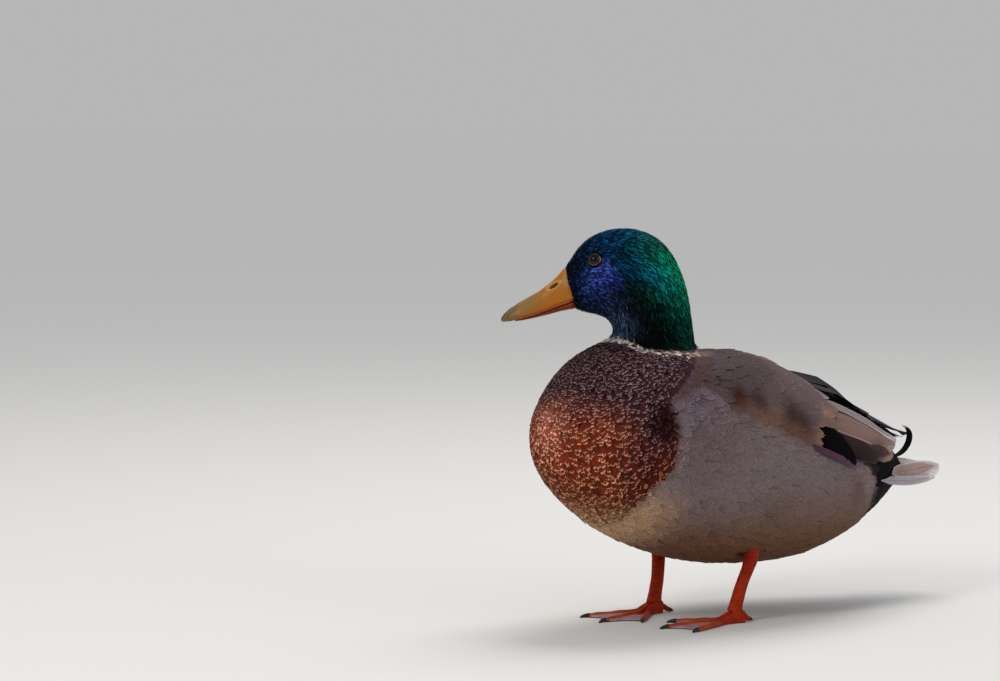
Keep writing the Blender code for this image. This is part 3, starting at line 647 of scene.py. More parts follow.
def scatter(wanted, gap, seed):
    """Roots spread evenly over the wanted faces of the hide, `gap` (mm) apart."""
    rng = np.random.default_rng(seed)
    share = hide.areas * wanted / (gap * MM) ** 2
    count = int(share.sum() * 5)
    face = rng.choice(len(share), count, p=share / share.sum())
    r = np.sort(rng.random((count, 2)), axis=1)
    weights = np.column_stack([r[:, 0], r[:, 1] - r[:, 0], 1 - r[:, 1]])
    points = (hide.points[hide.faces[face]] * weights[:, :, None]).sum(1)
    gap = gap[face] * MM
    cells = np.floor(points / float(gap.max())).astype(int).tolist()
    around = [(i, j, k) for i in (-1, 0, 1) for j in (-1, 0, 1) for k in (-1, 0, 1)]
    kept, grid = [], {}
    for i, ((a, b, c), (x, y, z)) in enumerate(zip(cells, points.tolist())):
        reach = (gap[i] * 0.92) ** 2
        near = (root for da, db, dc in around for root in grid.get((a + da, b + db, c + dc), ()))
        if any((px - x) ** 2 + (py - y) ** 2 + (pz - z) ** 2 < reach for px, py, pz in near):
            continue
        kept.append(i)
        grid.setdefault((a, b, c), []).append((x, y, z))
    return points[kept]


def laid_back(roots, length, steps, yaw, surface):
    """Each feather's line over a surface from its root, and the surface's normals under it."""
    place, normal, lie = surface.meet(roots)
    path, normals = [place], [normal]
    c, s = np.cos(yaw)[:, None], np.sin(yaw)[:, None]
    for _ in range(steps):
        way = lie * c + np.cross(normal, lie) * s
        place, normal, lie = surface.meet(path[-1] + way * (length / steps)[:, None])
        path.append(place)
        normals.append(normal)
    return np.stack(path, 1), np.stack(normals, 1)


def quads(rows, columns, start, flip=False):
    """The faces of a sheet of points, numbered from `start`."""
    i, j = np.meshgrid(np.arange(rows - 1), np.arange(columns - 1), indexing="ij")
    a = start + i * columns + j
    found = np.stack([a, a + 1, a + columns + 1, a + columns], -1).reshape(-1, 4)
    return found[:, ::-1] if flip else found


def vanes(name, look, path, normals, half, rise, tones, rims, seed, top=(-1, 0, 1),
          below=(-1, 1), camber=0.12, thick=0.12 * MM, hug=True, shade=0.55, fray=0.0,
          surface=None):
    """One mesh of many feathers. path and normals (feathers, rows, 3) lie on the hide, half and
    rise (feathers, rows) are half widths and heights over it, in metres."""
    surface = surface or hide
    rng = np.random.default_rng(seed)
    count, rows = path.shape[:2]
    length = np.linalg.norm(np.diff(path, axis=1), axis=2).sum(1)
    uneven = np.clip(rng.normal(0, fray, (count, len(top))), -0.6, 0.3)
    ahead = unit(np.gradient(path, axis=1))
    left = unit(np.cross(normals, ahead))
    up = normals
    middle = path + up * rise[..., None]
    if hug:
        edges = []
        for sign in (-1, 1):
            place, normal, _ = surface.meet(path + left * (sign * half)[..., None])
            lift = (rise - camber * half)[..., None]
            edges.append(place + normal * lift)
        right_edge, left_edge = edges
    else:
        drop = up * (camber * half)[..., None]
        right_edge = middle - left * half[..., None] - drop
        left_edge = middle + left * half[..., None] - drop
    bend = (left_edge + right_edge) / 2 - middle
    lean = (left_edge - right_edge) / 2

    def sheet(across, depth):
        u = np.array(across, float)[:, None]
        found = middle[:, :, None] + lean[:, :, None] * u + bend[:, :, None] * u**2
        taper = np.sin(np.linspace(0, math.pi, rows))[:, None, None]
        found = found - up[:, :, None] * (depth * taper * (1 - u**2))
        if fray:                             # each barb's end slips back or on along its own line
            own = uneven if depth == 0 else np.repeat(uneven.min(1, keepdims=True) - 0.05,
                                                      len(across), 1)
            found[:, -1] += (found[:, -1] - found[:, -2]) * own[..., None]
        return found

    upper, lower = sheet(top, 0.0), sheet(below, thick)
    points = np.concatenate([upper.reshape(count, -1, 3), lower.reshape(count, -1, 3)], 1)
    size = points.shape[1]
    faces = np.concatenate([quads(rows, len(top), 0, True), quads(rows, len(below),
                                                                  rows * len(top))])
    faces = (faces[None] + (np.arange(count) * size)[:, None, None]).reshape(-1, 4)
    made = solid(name, points.reshape(-1, 3), faces, look)
    mesh = made.data
    grain = rng.random(count)
    t = np.linspace(0, 1, rows)
    u = np.concatenate([np.tile(top, rows), np.tile(below, rows)]).astype(float)
    v = np.concatenate([np.repeat(t, len(top)), np.repeat(t, len(below))])
    vane = np.stack([np.tile(u, (count, 1)), np.tile(v, (count, 1)),
                     np.repeat(grain[:, None], size, 1)], -1).reshape(-1, 3)
    give(mesh, "vane", vane, "FLOAT_VECTOR")
    span = np.column_stack([half.max(1) / MM, length / MM, grain])
    give(mesh, "span", np.repeat(span, size, 0), "FLOAT_VECTOR")
    give(mesh, "tone", np.repeat(tones, size, 0))
    give(mesh, "edging", np.repeat(rims, size, 0))
    # Soft shading: a feather's own slope, eased towards that of the skin under it.
    slope = np.broadcast_to(unit(np.cross(lean, np.gradient(middle, axis=1)))[:, :, None],
                            upper.shape)
    slope = slope * np.sign((slope * up[:, :, None]).sum(-1, keepdims=True))
    arch = (bend * up).sum(-1, keepdims=True) / np.maximum(half[..., None], 1e-6)
    tilt = unit(slope - 2 * unit(lean)[:, :, None] * arch[:, :, None]
                * np.array(top, float)[:, None])
    soft = unit(up[:, :, None] * shade + tilt * (1 - shade))
    flat = np.broadcast_to(up[:, :, None], lower.shape)
    corner = np.concatenate([soft.reshape(count, -1, 3), -flat.reshape(count, -1, 3)], 1)
    mesh.normals_split_custom_set_from_vertices(corner.reshape(-1, 3).astype(np.float32))
    # Each feather is a small patch at its root's place on the flat skin.
    place = unwrapped(path[:, 0])
    low, high = place.min(0), place.max(0)
    place = 0.01 + 0.98 * (place - low) / np.maximum(high - low, 1e-6)
    patch = place[:, None] + 0.003 * np.stack([u / 2, v - 0.5], -1)[None]
    chart = mesh.uv_layers.new(name="OFBake")
    loops = np.empty(len(mesh.loops), np.int32)
    mesh.loops.foreach_get("vertex_index", loops)
    chart.data.foreach_set("uv", patch.reshape(-1, 2)[loops].astype(np.float32).ravel())
    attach(made, "root")
    return made


def recolour(made, name, change):
    """Passes one of a piece's colours through `change`, point by point."""
    layer = made.data.attributes[name].data
    values = np.empty(len(layer) * 4, np.float32)
    layer.foreach_get("color", values)
    values = values.reshape(-1, 4)
    values[:, :3] = change(values[:, :3])
    layer.foreach_set("color", values.ravel())


def retoned(made, share):
    """Lets the coat's markings, with their painted light and shade, run on across the feathers of a
    piece.
    """
    _, tones, rims = markings_and_light(mesh_arrays(made.data)[0])
    recolour(made, "tone", lambda old: old + share * (tones - old))
    recolour(made, "edging", lambda old: old + share * (rims - old))


def maths(tree, operation, *values):
    return node(tree, "Math", *values, operation=operation).outputs[0]


def three_numbers(tree, name):
    """The three numbers that a piece's points carry under a name."""
    found = node(tree, "Attribute", attribute_name=name).outputs[1]
    return node(tree, "SeparateXYZ", found).outputs


def feather_look(name, roughness, fleck=0.18, skew=1.0, edge=(0.7, 0.95), sides=0.62, streak=0.3,
                 frayed=0.4, shaft=0.0, deep=0.6, waves=0.0, wave_colour="3a302c", wave=0.35,
                 **sockets):
    """A feather's finish: its own colour, a differing edge that breaks up between the barbs, a
    shaft, fine cross waves, the streaks of the barbs, and painted shade darkening it towards its
    root."""
    look, tree, shader = finish(name, roughness, **sockets)
    tone, edging = carried(tree, "tone"), carried(tree, "edging")
    across, along, seed = three_numbers(tree, "vane")
    wide, long_, _ = three_numbers(tree, "span")
    out = maths(tree, "ABSOLUTE", across)
    along_mm = maths(tree, "MULTIPLY", along, long_)
    out_mm = maths(tree, "MULTIPLY", out, wide)
    side_mm = maths(tree, "MULTIPLY", across, wide)
    shift = maths(tree, "MULTIPLY", seed, 60.0)
    # Barbs run back from the shaft and a little outwards.
    slant = maths(tree, "SUBTRACT", along_mm, maths(tree, "MULTIPLY", out_mm, 0.6))
    barbs = noise(tree, 1.0, 3.0, at=node(
        tree, "CombineXYZ", maths(tree, "MULTIPLY", side_mm, 1.5),
        maths(tree, "MULTIPLY", slant, 0.28), shift).outputs[0])
    # The edge: round the tip and down both sides.
    tip = maths(tree, "DIVIDE", maths(tree, "SUBTRACT", along, 0.45), 0.55)
    tip = maths(tree, "MAXIMUM", tip, 0.0)
    outer = maths(tree, "MULTIPLY", out, maths(tree, "MULTIPLY", out, sides))
    rim = maths(tree, "SQRT", maths(tree, "ADD", maths(tree, "MULTIPLY", tip, tip), outer))
    uneven = maths(tree, "MULTIPLY", maths(tree, "SUBTRACT", barbs, 0.5), frayed)
    rim = maths(tree, "ADD", rim, uneven)
    colour = mixed(tree, ramp(tree, rim, *edge), tone, edging)
    if waves:
        wavy = noise(tree, 1.0, 2.0, at=node(
            tree, "CombineXYZ", maths(tree, "MULTIPLY", side_mm, 0.5),
            maths(tree, "MULTIPLY", along_mm, 0.35), shift).outputs[0])
        phase = maths(tree, "ADD", maths(tree, "MULTIPLY", along_mm, 2 * math.pi / waves),
                      maths(tree, "MULTIPLY", wavy, 7.0))
        line = ramp(tree, maths(tree, "SINE", phase), -0.2, 0.8, 0.0, wave)
        colour = mixed(tree, line, colour, linear(wave_colour))
    if shaft:
        line = ramp(tree, out_mm, 0.12, 0.4, shaft, 0.0)
        colour = mixed(tree, line, colour, linear("2a1f1a"))
    own = maths(tree, "ADD", maths(tree, "MULTIPLY", maths(tree, "POWER", seed, skew), fleck),
                1.0 - fleck / (1 + skew))
    # Painted shade: each feather darkens towards its root, where the feathers lying over it shade
    # it; `deep` is how dark it gets there.
    value = maths(tree, "MULTIPLY", own, ramp(tree, along, 0.0, 0.6, deep, 1.0))
    if streak:
        value = maths(tree, "MULTIPLY", value,
                      ramp(tree, barbs, 0.3, 0.7, 1.0 - streak, 1.0 + streak))
    colour = mixed(tree, 1.0, colour, node(tree, "CombineXYZ", value, value, value).outputs[0],
                   "MULTIPLY")
    tree.links.new(colour, shader.inputs["Base Color"])
    bumped(tree, shader, barbs, 0.35, 0.0004)
    return look


def dress(name, look, zones, spacing, length, width, lift, outline, seed, steps=4, yaw=0.1,
          sink=0.3, spare=None, slot="grey_flank", ragged=0.14, flat=0.65, mingle=1.0, over=None,
          **shape):
    """Covers zones of the hide with one kind of feather. spacing, length, width and lift are
    millimetres, or functions of places in millimetres."""
    def sized(value, points):
        return value(points / MM) if callable(value) else np.full(len(points), float(value))

    rng = np.random.default_rng(seed + 500)
    # A feather belongs to the zone where its outer end shows, and neighbours mingle a little.
    seen = hide.middles + hide.ways * (0.7 * MM * sized(length, hide.middles))[:, None]
    seen = seen + rng.normal(0, mingle * MM, seen.shape)
    wanted = np.isin(markings_and_light(seen)[0], zones)
    if spare is not None:
        wanted &= ~spare(hide.middles)
    roots = scatter(wanted, sized(spacing, hide.middles), seed)
    count = len(roots)
    reach = sized(length, roots) * MM * np.clip(rng.normal(1, ragged, count), 0.6, 1.35)
    path, normals = laid_back(roots, reach, steps, rng.normal(0, yaw, count), over or hide)
    t = np.linspace(0, 1, steps + 1)
    wide = sized(width, roots) * MM / 2 * np.clip(rng.normal(1, 0.08, count), 0.8, 1.25)
    half = wide[:, None] * np.interp(t, np.linspace(0, 1, len(outline)), outline)
    high = sized(lift, roots) * MM * np.clip(rng.normal(1, 0.08, count), 0.8, 1.25)
    # It springs from `sink` under the surface and flattens out towards its tip.
    rise = (high + sink * MM)[:, None] * t**flat * (1 - 0.12 * t**4) - sink * MM
    at = min(int(round(0.75 * steps)), steps)
    _, tones, rims = markings_and_light(path[:, at] + rng.normal(0, mingle * MM, (count, 3)))
    made = vanes(name, look, path, normals, half, rise, tones, rims, seed, surface=over, **shape)
    return made


def round_eye(points):
    """Whether a point of the face lies in the opening for the eye."""
    ahead, up, radius = 40.4, 258.8, 4.9     # of the opening, in the head's frame
    head = head_place(points)
    return np.hypot(head[:, 0] - ahead, head[:, 2] - up) < radius


WING_FEATHERS = [part + side for part in ("tertials_", "secondaries_", "primaries_")
                 for side in ("left", "right")]
wing_trees = trees_of(WING_FEATHERS)


def under_wing(points):
    """Whether a point lies under the folded flight feathers."""
    _, normals, _ = hide.meet(points)
    return np.array([any(tree.ray_cast(p, n, 0.012)[0] is not None for tree in wing_trees)
                     for p, n in zip(points.tolist(), normals.tolist())])


def above_wing_edge(places):
    """How far each place (mm) lies above the flank's upper edge."""
    return places[:, 2] - np.interp(places[:, 0], *zip(*WING_EDGE))


def by_wing(places):
    """1 along the edge where the flank feathers lie over the wing."""
    return eased(above_wing_edge(places), -18, -1) * eased(places[:, 0], -56, -46)


def behind_shoulder(points):
    """Whether a point lies behind the last shoulder feathers."""
    x, y, z = points.T / MM
    rear = np.interp(z, [130, 140, 158, 170], [18, 12, -13, -19])
    return under_wing(points) | (x < rear) | ((np.abs(y) < 22) & (x < 0))


# The mould of the body with the folded wings on it, which the wing's own feathers lie over.
form = Hide(*cast(FLESH + WING_FEATHERS, 1.8 * MM, 0.2 * MM))

green_look = feather_look("green_head_feathers", 0.7, fleck=2.6, skew=2.4, edge=(0.5, 1.0),
                          streak=0.0, deep=0.3, Specular_IOR_Level=0.03)
dress("head_feathers", green_look, ["green"],
      lambda p: 1.02 + 0.22 * eased(-p[:, 2], -250, -210),
      lambda p: 2.4 + 3.2 * eased(-head_place(p * MM)[:, 0], -60, 0),
      lambda p: 1.05 + 0.3 * eased(-p[:, 2], -250, -205),
      0.95, (0.5, 1.0, 0.9, 0.1), 11, steps=3, yaw=0.2, sink=0.2, spare=round_eye, hug=False,
      slot="green_head", thick=0.2 * MM, shade=0.35, camber=0.3, ragged=0.3, mingle=1.6)

collar_look = feather_look("white_collar_feathers", 0.8, fleck=0.35, Specular_IOR_Level=0.15)
dress("collar_feathers", collar_look, ["collar"], 1.25, 4.6, 1.7, 1.5, (0.6, 1.0, 0.8, 0.2), 21,
      steps=3, yaw=0.22, slot="white_collar", thick=0.2 * MM, ragged=0.25)

breast_look = feather_look("breast_feathers", 0.75, fleck=0.7, edge=(0.8, 1.0), sides=0.12,
                           frayed=0.5, streak=0.35, deep=0.6, Specular_IOR_Level=0.08)
dress("breast_feathers", breast_look, ["breast"],
      lambda p: 1.6 + 0.8 * eased(-p[:, 2], -180, -120),
      lambda p: 6.0 + 4.4 * eased(-p[:, 2], -180, -120),
      lambda p: 3.0 + 1.5 * eased(-p[:, 2], -180, -120),
      2.2, (0.45, 0.85, 1.0, 0.95, 0.5), 31, steps=4, slot="chestnut_breast",
      top=(-1, -0.5, 0, 0.5, 1), below=(-1, 0, 1), fray=0.25, yaw=0.18, shade=0.6, ragged=0.2,
      mingle=1.6)

WIDE_VANE = (-1, -0.66, -0.33, 0, 0.33, 0.66, 1)    # stations across the broader vanes
flank_look = feather_look("flank_feathers", 0.8, fleck=0.12, edge=(0.75, 1.1), streak=0.18,
                          deep=0.9, waves=1.7, Specular_IOR_Level=0.1)
flank = dress(
    "flank_feathers", flank_look, ["flank"],
    4.3, lambda p: 15.0 + 8 * eased(-p[:, 0], -120, -20), 8.5, lambda p: 2.2 + 1.4 * by_wing(p),
    (0.4, 0.85, 1.0, 0.95, 0.75, 0.2), 41, steps=5, yaw=0.14, top=WIDE_VANE, below=(-1, 0, 1),
    camber=0.04, shade=0.88, fray=0.3, flat=0.6, thick=0.06 * MM, ragged=0.2, mingle=0.8)
retoned(flank, 0.6)

mantle_look = feather_look("shoulder_feathers", 0.75, fleck=0.1, edge=(0.85, 1.1), streak=0.16,
                           deep=0.9, shaft=0.1, Specular_IOR_Level=0.08)
shoulders = dress(
    "shoulder_feathers", mantle_look, ["mantle"],
    lambda p: 3.2 + 3.2 * eased(-p[:, 0], -85, -30),
    lambda p: 11.0 + 21.0 * eased(-p[:, 0], -90, -20),
    lambda p: 6.0 + 8.0 * eased(-p[:, 0], -85, -30),
    lambda p: 0.2 + 1.0 * eased(above_wing_edge(p), 2, 14) + 0.8 * eased(-p[:, 0], -30, 5),
    (0.4, 0.75, 0.95, 1.0, 0.92, 0.7, 0.2), 51, steps=6, slot="grey_brown_wing", over=form,
    sink=2.6, top=WIDE_VANE, below=(-1, 0, 1), yaw=0.05, shade=0.85, fray=0.2, flat=0.5,
    thick=0.08 * MM, spare=behind_shoulder, ragged=0.2, mingle=0.6)
retoned(shoulders, 0.85)

black_look = feather_look("black_feathers", 0.7, fleck=0.5, edge=(0.7, 1.1), streak=0.3,
                          Specular_IOR_Level=0.03)
dress("black_feathers", black_look, ["back", "vent"], 4.0, 14.0, 7.0,
      lambda p: 1.6 + 1.6 * np.exp(-((p[:, 0] + 50) / 22) ** 2) * (p[:, 2] > 140),
      (0.4, 0.8, 1.0, 1.0, 0.8, 0.2), 61, steps=5, slot="black_coverts",
      top=(-1, -0.5, 0, 0.5, 1), below=(-1, 0, 1), fray=0.25, spare=under_wing, shade=0.7)


# ---- The flight feathers of the folded wings -------------------------------------------------
# Long stiff feathers, each with a shaft and two webs, stacked from the body outwards: black-brown
# primaries crossing over the rump, violet secondaries that show as a sliver above the flank, and
# broad grey-brown tertials laid over both. Their roots lie under the shoulder feathers.
def long_feathers(name, look, rows, outline, seed, slot, steps=16, **shape):
    """Feathers of both wings from a table in mm: root and tip of the left one, half width, rise
    over the body, bow, then the colour of the vane and of its edge."""
    path, normals, half, rise, tones, rims = [], [], [], [], [], []
    t = np.linspace(0, 1, steps)
    for root, tip, wide, high, bow, colour, edge in rows:
        for side in (1, -1):
            ends = np.array([root, tip], float)
            ends[:, 1] = MIDLINE + side * (ends[:, 1] - MIDLINE)
            line = (ends[0] + (ends[1] - ends[0]) * t[:, None]) * MM
            bulge = np.array(bow if np.ndim(bow) else (0, 0, bow), float) * [1, side, 1]
            line += bulge * MM * np.sin(t * math.pi)[:, None]
            place, normal, _ = form.meet(line)
            free = eased(np.linalg.norm(place - line, axis=1) / MM, 2.0, 6.0)[:, None]
            path.append(place * (1 - free) + line * free)
            normals.append(normal)
            half.append(wide * MM * np.interp(t, np.linspace(0, 1, len(outline)), outline))
            over = np.interp(t, np.linspace(0, 1, np.size(high)), np.atleast_1d(high))
            rise.append((over + t * 0.4 - 3.0 * eased(-t, -0.42, 0)) * MM
                        + 0.25 * MM * (side < 0))
            tones.append(linear(colour))
            rims.append(linear(edge))
    path = np.array(path)
    for _ in range(3):
        path[:, 1:-1] = (path[:, :-2] + 2 * path[:, 1:-1] + path[:, 2:]) / 4
    made = vanes(name, look, path, unit(np.array(normals)), np.array(half), np.array(rise),
                 np.array(tones), np.array(rims), seed, surface=form,
                 top=(-1, -0.88, -0.7, -0.5, -0.3, -0.08, 0.08, 0.3, 0.5, 0.7, 0.88, 1),
                 below=(-1, -0.5, 0, 0.5, 1), **shape)
    return made


tertial_look = feather_look("tertial_feathers", 0.6, fleck=0.06, edge=(0.86, 1.0), sides=1.0,
                            streak=0.12, frayed=0.2, shaft=0.35, deep=0.8,
                            Specular_IOR_Level=0.15)
tertials = long_feathers("tertials", tertial_look, [
    ((-14, 12, 176), (-118, 7, 127), 9.0, (0, 3.5, 6.2, 4.6, 2.2, 1.0), 0, "140f10", "1f1919"),
    ((-18, 24, 172), (-120, 12, 126), 9.0, (0, 2.5, 4.5, 3.2, 1.6, 0.8), 0, "171112", "241d1d"),
    ((-16, 40, 163), (-121, 25, 118.5), 4.4, 1.5, (0, 7, -2), "84787b", "bdb3b9"),
    ((-20, 53, 148), (-118, 32, 116.5), 12.5, 0.8, (0, 5, 2), "7d635b", "9b847e"),
    ((-22, 59, 135), (-107, 41, 110.5), 10.0, 0.1, 0, "513429", "95796e"),
    ((-24, 60, 131), (-84, 51, 109), 7.5, -0.3, 0, "2b1210", "3a1b17"),
], (0.5, 0.8, 0.95, 1.0, 1.0, 1.0, 0.95, 0.82, 0.4), 71, "grey_brown_wing", thick=0.35 * MM)


def lower_web_shade(places):
    """Painted shade: the tertials darken, towards maroon, near the flank where they lie in shade.
    """
    low = np.interp(places[:, 0], [-122, -112, -98, -78, -45, -20], [120, 116, 112, 109, 109, 121])
    deep = eased(low - places[:, 2], -19, -2) * eased(places[:, 0], -104, -84)
    return 1 - deep[:, None] * [0.72, 0.84, 0.84]


# Painted shade laid over the tertials' colours and edges.
tertial_shade = lower_web_shade(mesh_arrays(tertials.data)[0] / MM)
for layer in ("tone", "edging"):
    recolour(tertials, layer, lambda old: old * tertial_shade)
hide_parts("tertials_left", "tertials_right")

covert_look = feather_look("greater_covert_feathers", 0.6, fleck=0.1, edge=(0.9, 1.05),
                           streak=0.15, Specular_IOR_Level=0.03)
long_feathers("greater_coverts", covert_look, [
    ((-14, 63, 134), (-38, 63, 113), 5.5, 2.0, 0, "060406", "0c090c"),
    ((-22, 60, 138), (-46, 62, 109.5), 5.5, 2.4, 0, "060406", "0c090c"),
], (0.7, 0.9, 1.0, 1.0, 1.0, 0.8, 0.2), 74, "dark_primaries", thick=0.25 * MM)

speculum_look = feather_look("speculum_feathers", 0.4, fleck=0.1, edge=(0.9, 1.1), streak=0.15,
                             Specular_IOR_Level=0.3, Metallic=0.2)
speculum = long_feathers("secondaries", speculum_look, [
    ((4, 64.5, 128), (-50, 61.5, 107), 2.4, 2.2, 0, "4c2b42", "6b5468"),
    ((0, 60, 130), (-68, 55, 109.5), 4.5, -1.1, 0, "33223a", "1c1626"),
    # Painted shade: the two rear secondaries are painted near black, as the shade under the
    # tertials.
    ((-10, 58, 132), (-88, 46, 114), 6.0, -1.4, 0, "1d1022", "140a14"),
    ((-10, 56, 134), (-108, 32, 119), 6.0, -1.6, 0, "150c12", "120a0e"),
], (0.7, 0.9, 1.0, 1.0, 1.0, 0.95, 0.8, 0.4), 72, "violet_speculum", thick=0.3 * MM)
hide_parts("secondaries_left", "secondaries_right")

primary_look = feather_look("primary_feathers", 0.6, fleck=0.1, edge=(0.82, 1.05), sides=1.0,
                            streak=0.15, shaft=0.4, Specular_IOR_Level=0.15)
primaries = long_feathers("primaries", primary_look, [
    ((-40, 14, 156), (-134, 9.0, 121), 8.0, 1.2, 0, "4b4951", "222024"),
    ((-48, 12, 152), (-143, 6.5, 119.2), 7.5, 0.9, 0, "47454d", "1c1a1d"),
    ((-56, 11, 149), (-151, 4.2, 118), 6.0, 0.6, (0, 0, 1), "413f46", "161417"),
    ((-64, 10, 147), (-160, 1.8, 120.5), 4.0, 0.3, (0, 0, 1), "343237", "0e0d0f"),
], (0.6, 0.85, 1.0, 1.0, 0.95, 0.85, 0.6, 0.08), 73, "dark_primaries", thick=0.3 * MM)
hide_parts("primaries_left", "primaries_right")


# ---- The tail --------------------------------------------------------------------------------
# Eighteen stiff feathers in a low arch, the middle ones uppermost: brown in the centre and
# whitish along both edges, and nearly all white at the sides. Black coverts hide their roots,
# and two glossy black ones curl up and forward over them.
TAIL_ROOT = (-113.2, 107.0)                  # ahead and up
TAIL_SPREAD, TAIL_SLOPE, TAIL_DROP = 27.0, -9.5, 9.5    # degrees; then how low the sides lie
TAIL_MIDDLE_LENGTH, TAIL_SIDE_LENGTH, TAIL_HALF_WIDTH = 73.5, 55.0, 6.8
TAIL_FAN = 14                                # feathers in the fan, the two at each side apart


def straight_vanes(name, look, path, normals, half, tones, rims, seed, slot, **shape):
    """Stiff feathers that stand clear of the body."""
    made = vanes(name, look, np.array(path), unit(np.array(normals)), np.array(half),
                 np.zeros(np.array(half).shape), np.array(tones), np.array(rims), seed,
                 top=(-1, -0.8, -0.55, -0.3, -0.06, 0.06, 0.3, 0.55, 0.8, 1),
                 below=(-1, -0.5, 0, 0.5, 1), hug=False, shade=0.3, **shape)
    return made


path, normals, half, tones, rims = [], [], [], [], []
t = np.linspace(0, 1, 14)                    # stations along each feather
for i in range(TAIL_FAN):
    across = (i + 0.5) / (TAIL_FAN / 2) - 1
    angle = math.radians(TAIL_SPREAD) * across * 0.96
    end = TAIL_MIDDLE_LENGTH + (TAIL_SIDE_LENGTH - TAIL_MIDDLE_LENGTH) * abs(across) ** 1.4
    reach = 8 + (end - 8) * t
    share = np.clip((reach - 24) / (end - 24), 0, 1)
    up = TAIL_ROOT[1] + math.tan(math.radians(TAIL_SLOPE)) * reach
    up = up - TAIL_DROP * across**2 * (0.35 + 0.65 * share) + 1.1 * (1 - abs(across))
    path.append(np.column_stack([TAIL_ROOT[0] - reach * math.cos(angle),
                                 MIDLINE + reach * math.sin(angle), up]) * MM)
    normals.append(np.tile([0.15, 0.9 * across, 1.0], (len(t), 1)))
    half.append(TAIL_HALF_WIDTH * MM * np.interp(t, [0, 0.3, 0.6, 0.85, 0.95, 1],
                                                 [0.5, 0.85, 1, 0.85, 0.55, 0.1]))
    white = eased(abs(across), 0.25, 0.95)
    tones.append(linear("574a4a") * (1 - white) + linear("a9958e") * white)
    rims.append(linear("c6bcc0"))
tail_look = feather_look("tail_feathers", 0.65, fleck=0.08, edge=(0.7, 0.92), sides=0.9,
                         streak=0.12, frayed=0.15, shaft=0.35, deep=0.75,
                         Specular_IOR_Level=0.15)
tail = straight_vanes("tail_feathers", tail_look, path, normals, half, tones, rims, 81,
                      "pale_tail", camber=0.1, thick=0.35 * MM)
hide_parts("tail")

# The two outermost on each side lie along the flank of the rump.
path, normals, half, tones, rims = [], [], [], [], []
for root, tip, wide, sag, colour, edge in (
        ((-106, 37, 96.3), (-178, 14, 96.4), 5.8, 0.0, "a48d85", "c8bdc0"),
        ((-87, 44.6, 93.4), (-167, 21, 88.2), 3.6, 1.4, "aaa0a8", "beb6be")):
    for side in (1, -1):
        line = np.array(root) + (np.array(tip) - root) * t[:, None]
        line[:, 1] = MIDLINE + side * (line[:, 1] - MIDLINE)
        line[:, 2] -= sag * np.sin(t * math.pi)
        line *= MM
        place, _, _ = form.meet(line)
        free = eased(np.linalg.norm(place - line, axis=1) / MM, 2.0, 6.0)[:, None]
        path.append(place * (1 - free) + line * free + np.array([0, side * 0.8 * MM, 0]))
        normals.append(np.tile([0.3, side * 0.9, 0.15], (len(t), 1)))
        half.append(wide * MM * np.interp(t, [0, 0.12, 0.35, 0.65, 0.85, 1],
                                          [0.1, 0.6, 1, 0.95, 0.65, 0.1]))
        tones.append(linear(colour))
        rims.append(linear(edge))
straight_vanes("side_tail_feathers", tail_look, path, normals, half, tones, rims, 83,
               "pale_tail", camber=0.1, thick=0.3 * MM)

CURL = [                                     # ahead and up, from the root round to the tip
    (-137.2, 104.0), (-144.2, 103.4), (-151.7, 105.5), (-157.5, 109.8), (-160.8, 115.0),
    (-161.2, 120.4), (-158.8, 124.4), (-153.9, 126.4),
]
line = np.column_stack([np.interp(np.linspace(0, len(CURL) - 1, len(t)), range(len(CURL)), values)
                        for values in zip(*CURL)])
for _ in range(2):
    line[1:-1] = (line[:-2] + 2 * line[1:-1] + line[2:]) / 4
ahead, up = np.gradient(line, axis=0).T
path, normals = [], []
for side in (1.2, -1.2):
    path.append(np.column_stack([line[:, 0], np.full(len(t), MIDLINE + side), line[:, 1]]) * MM)
    normals.append(np.column_stack([up, np.full(len(t), -0.12 * side), -ahead]))
half = [2.5 * MM * np.interp(t, [0, 0.2, 0.7, 1], [0.8, 1, 0.8, 0.15])] * 2
curls = straight_vanes("curled_coverts", black_look, path, normals, half,
                       [linear("131216")] * 2, [linear("1d1c22")] * 2, 82, "black_coverts",
                       camber=0.25, thick=1.5 * MM)
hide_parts("curl_left", "curl_right")


# ---- The bill --------------------------------------------------------------------------------
# A broad flat bill in a thin waxy hide, olive yellow on the ridge and orange along the mouth,
# with a slit nostril each side near the base, a black nail at the tip, and the lower half shut
# up into it.
def fine_cast(names, cell, rounds):
    """A close cast of bare parts, with its steps smoothed away."""
    points, faces = cast(names, cell, 0.05 * MM)
    return relaxed(points, faces, rounds), faces


def nostril(head):
    """How far past the nostril's edge each point is, 0 at its middle, in the head's frame."""
    ahead, up = head[:, 0] - 69.0, head[:, 2] - 239.6
    c, s = math.cos(math.radians(32)), math.sin(math.radians(32))
    along, across = (c * ahead - s * up) / 3.6, (s * ahead + c * up) / 1.25
    return np.where(head[:, 1] > 2.5, np.hypot(along, across), 9.0)


waxy_look, tree, shader = finish("bill_wax", 0.42, Coat_Weight=0.06, Coat_Roughness=0.3,
                                 Specular_IOR_Level=0.22)
grime = noise(tree, 160.0, 6.0, 0.6)
stain = ramp(tree, grime, 0.35, 0.62, 0.72, 1.08)
tree.links.new(mixed(tree, 1.0, carried(tree, "tone"), stain, "MULTIPLY"),
               shader.inputs["Base Color"])
tree.links.new(ramp(tree, grime, 0.3, 0.7, 0.28, 0.5), shader.inputs["Roughness"])
bumped(tree, shader, noise(tree, 900.0, 3.0), 0.25, 0.0002)

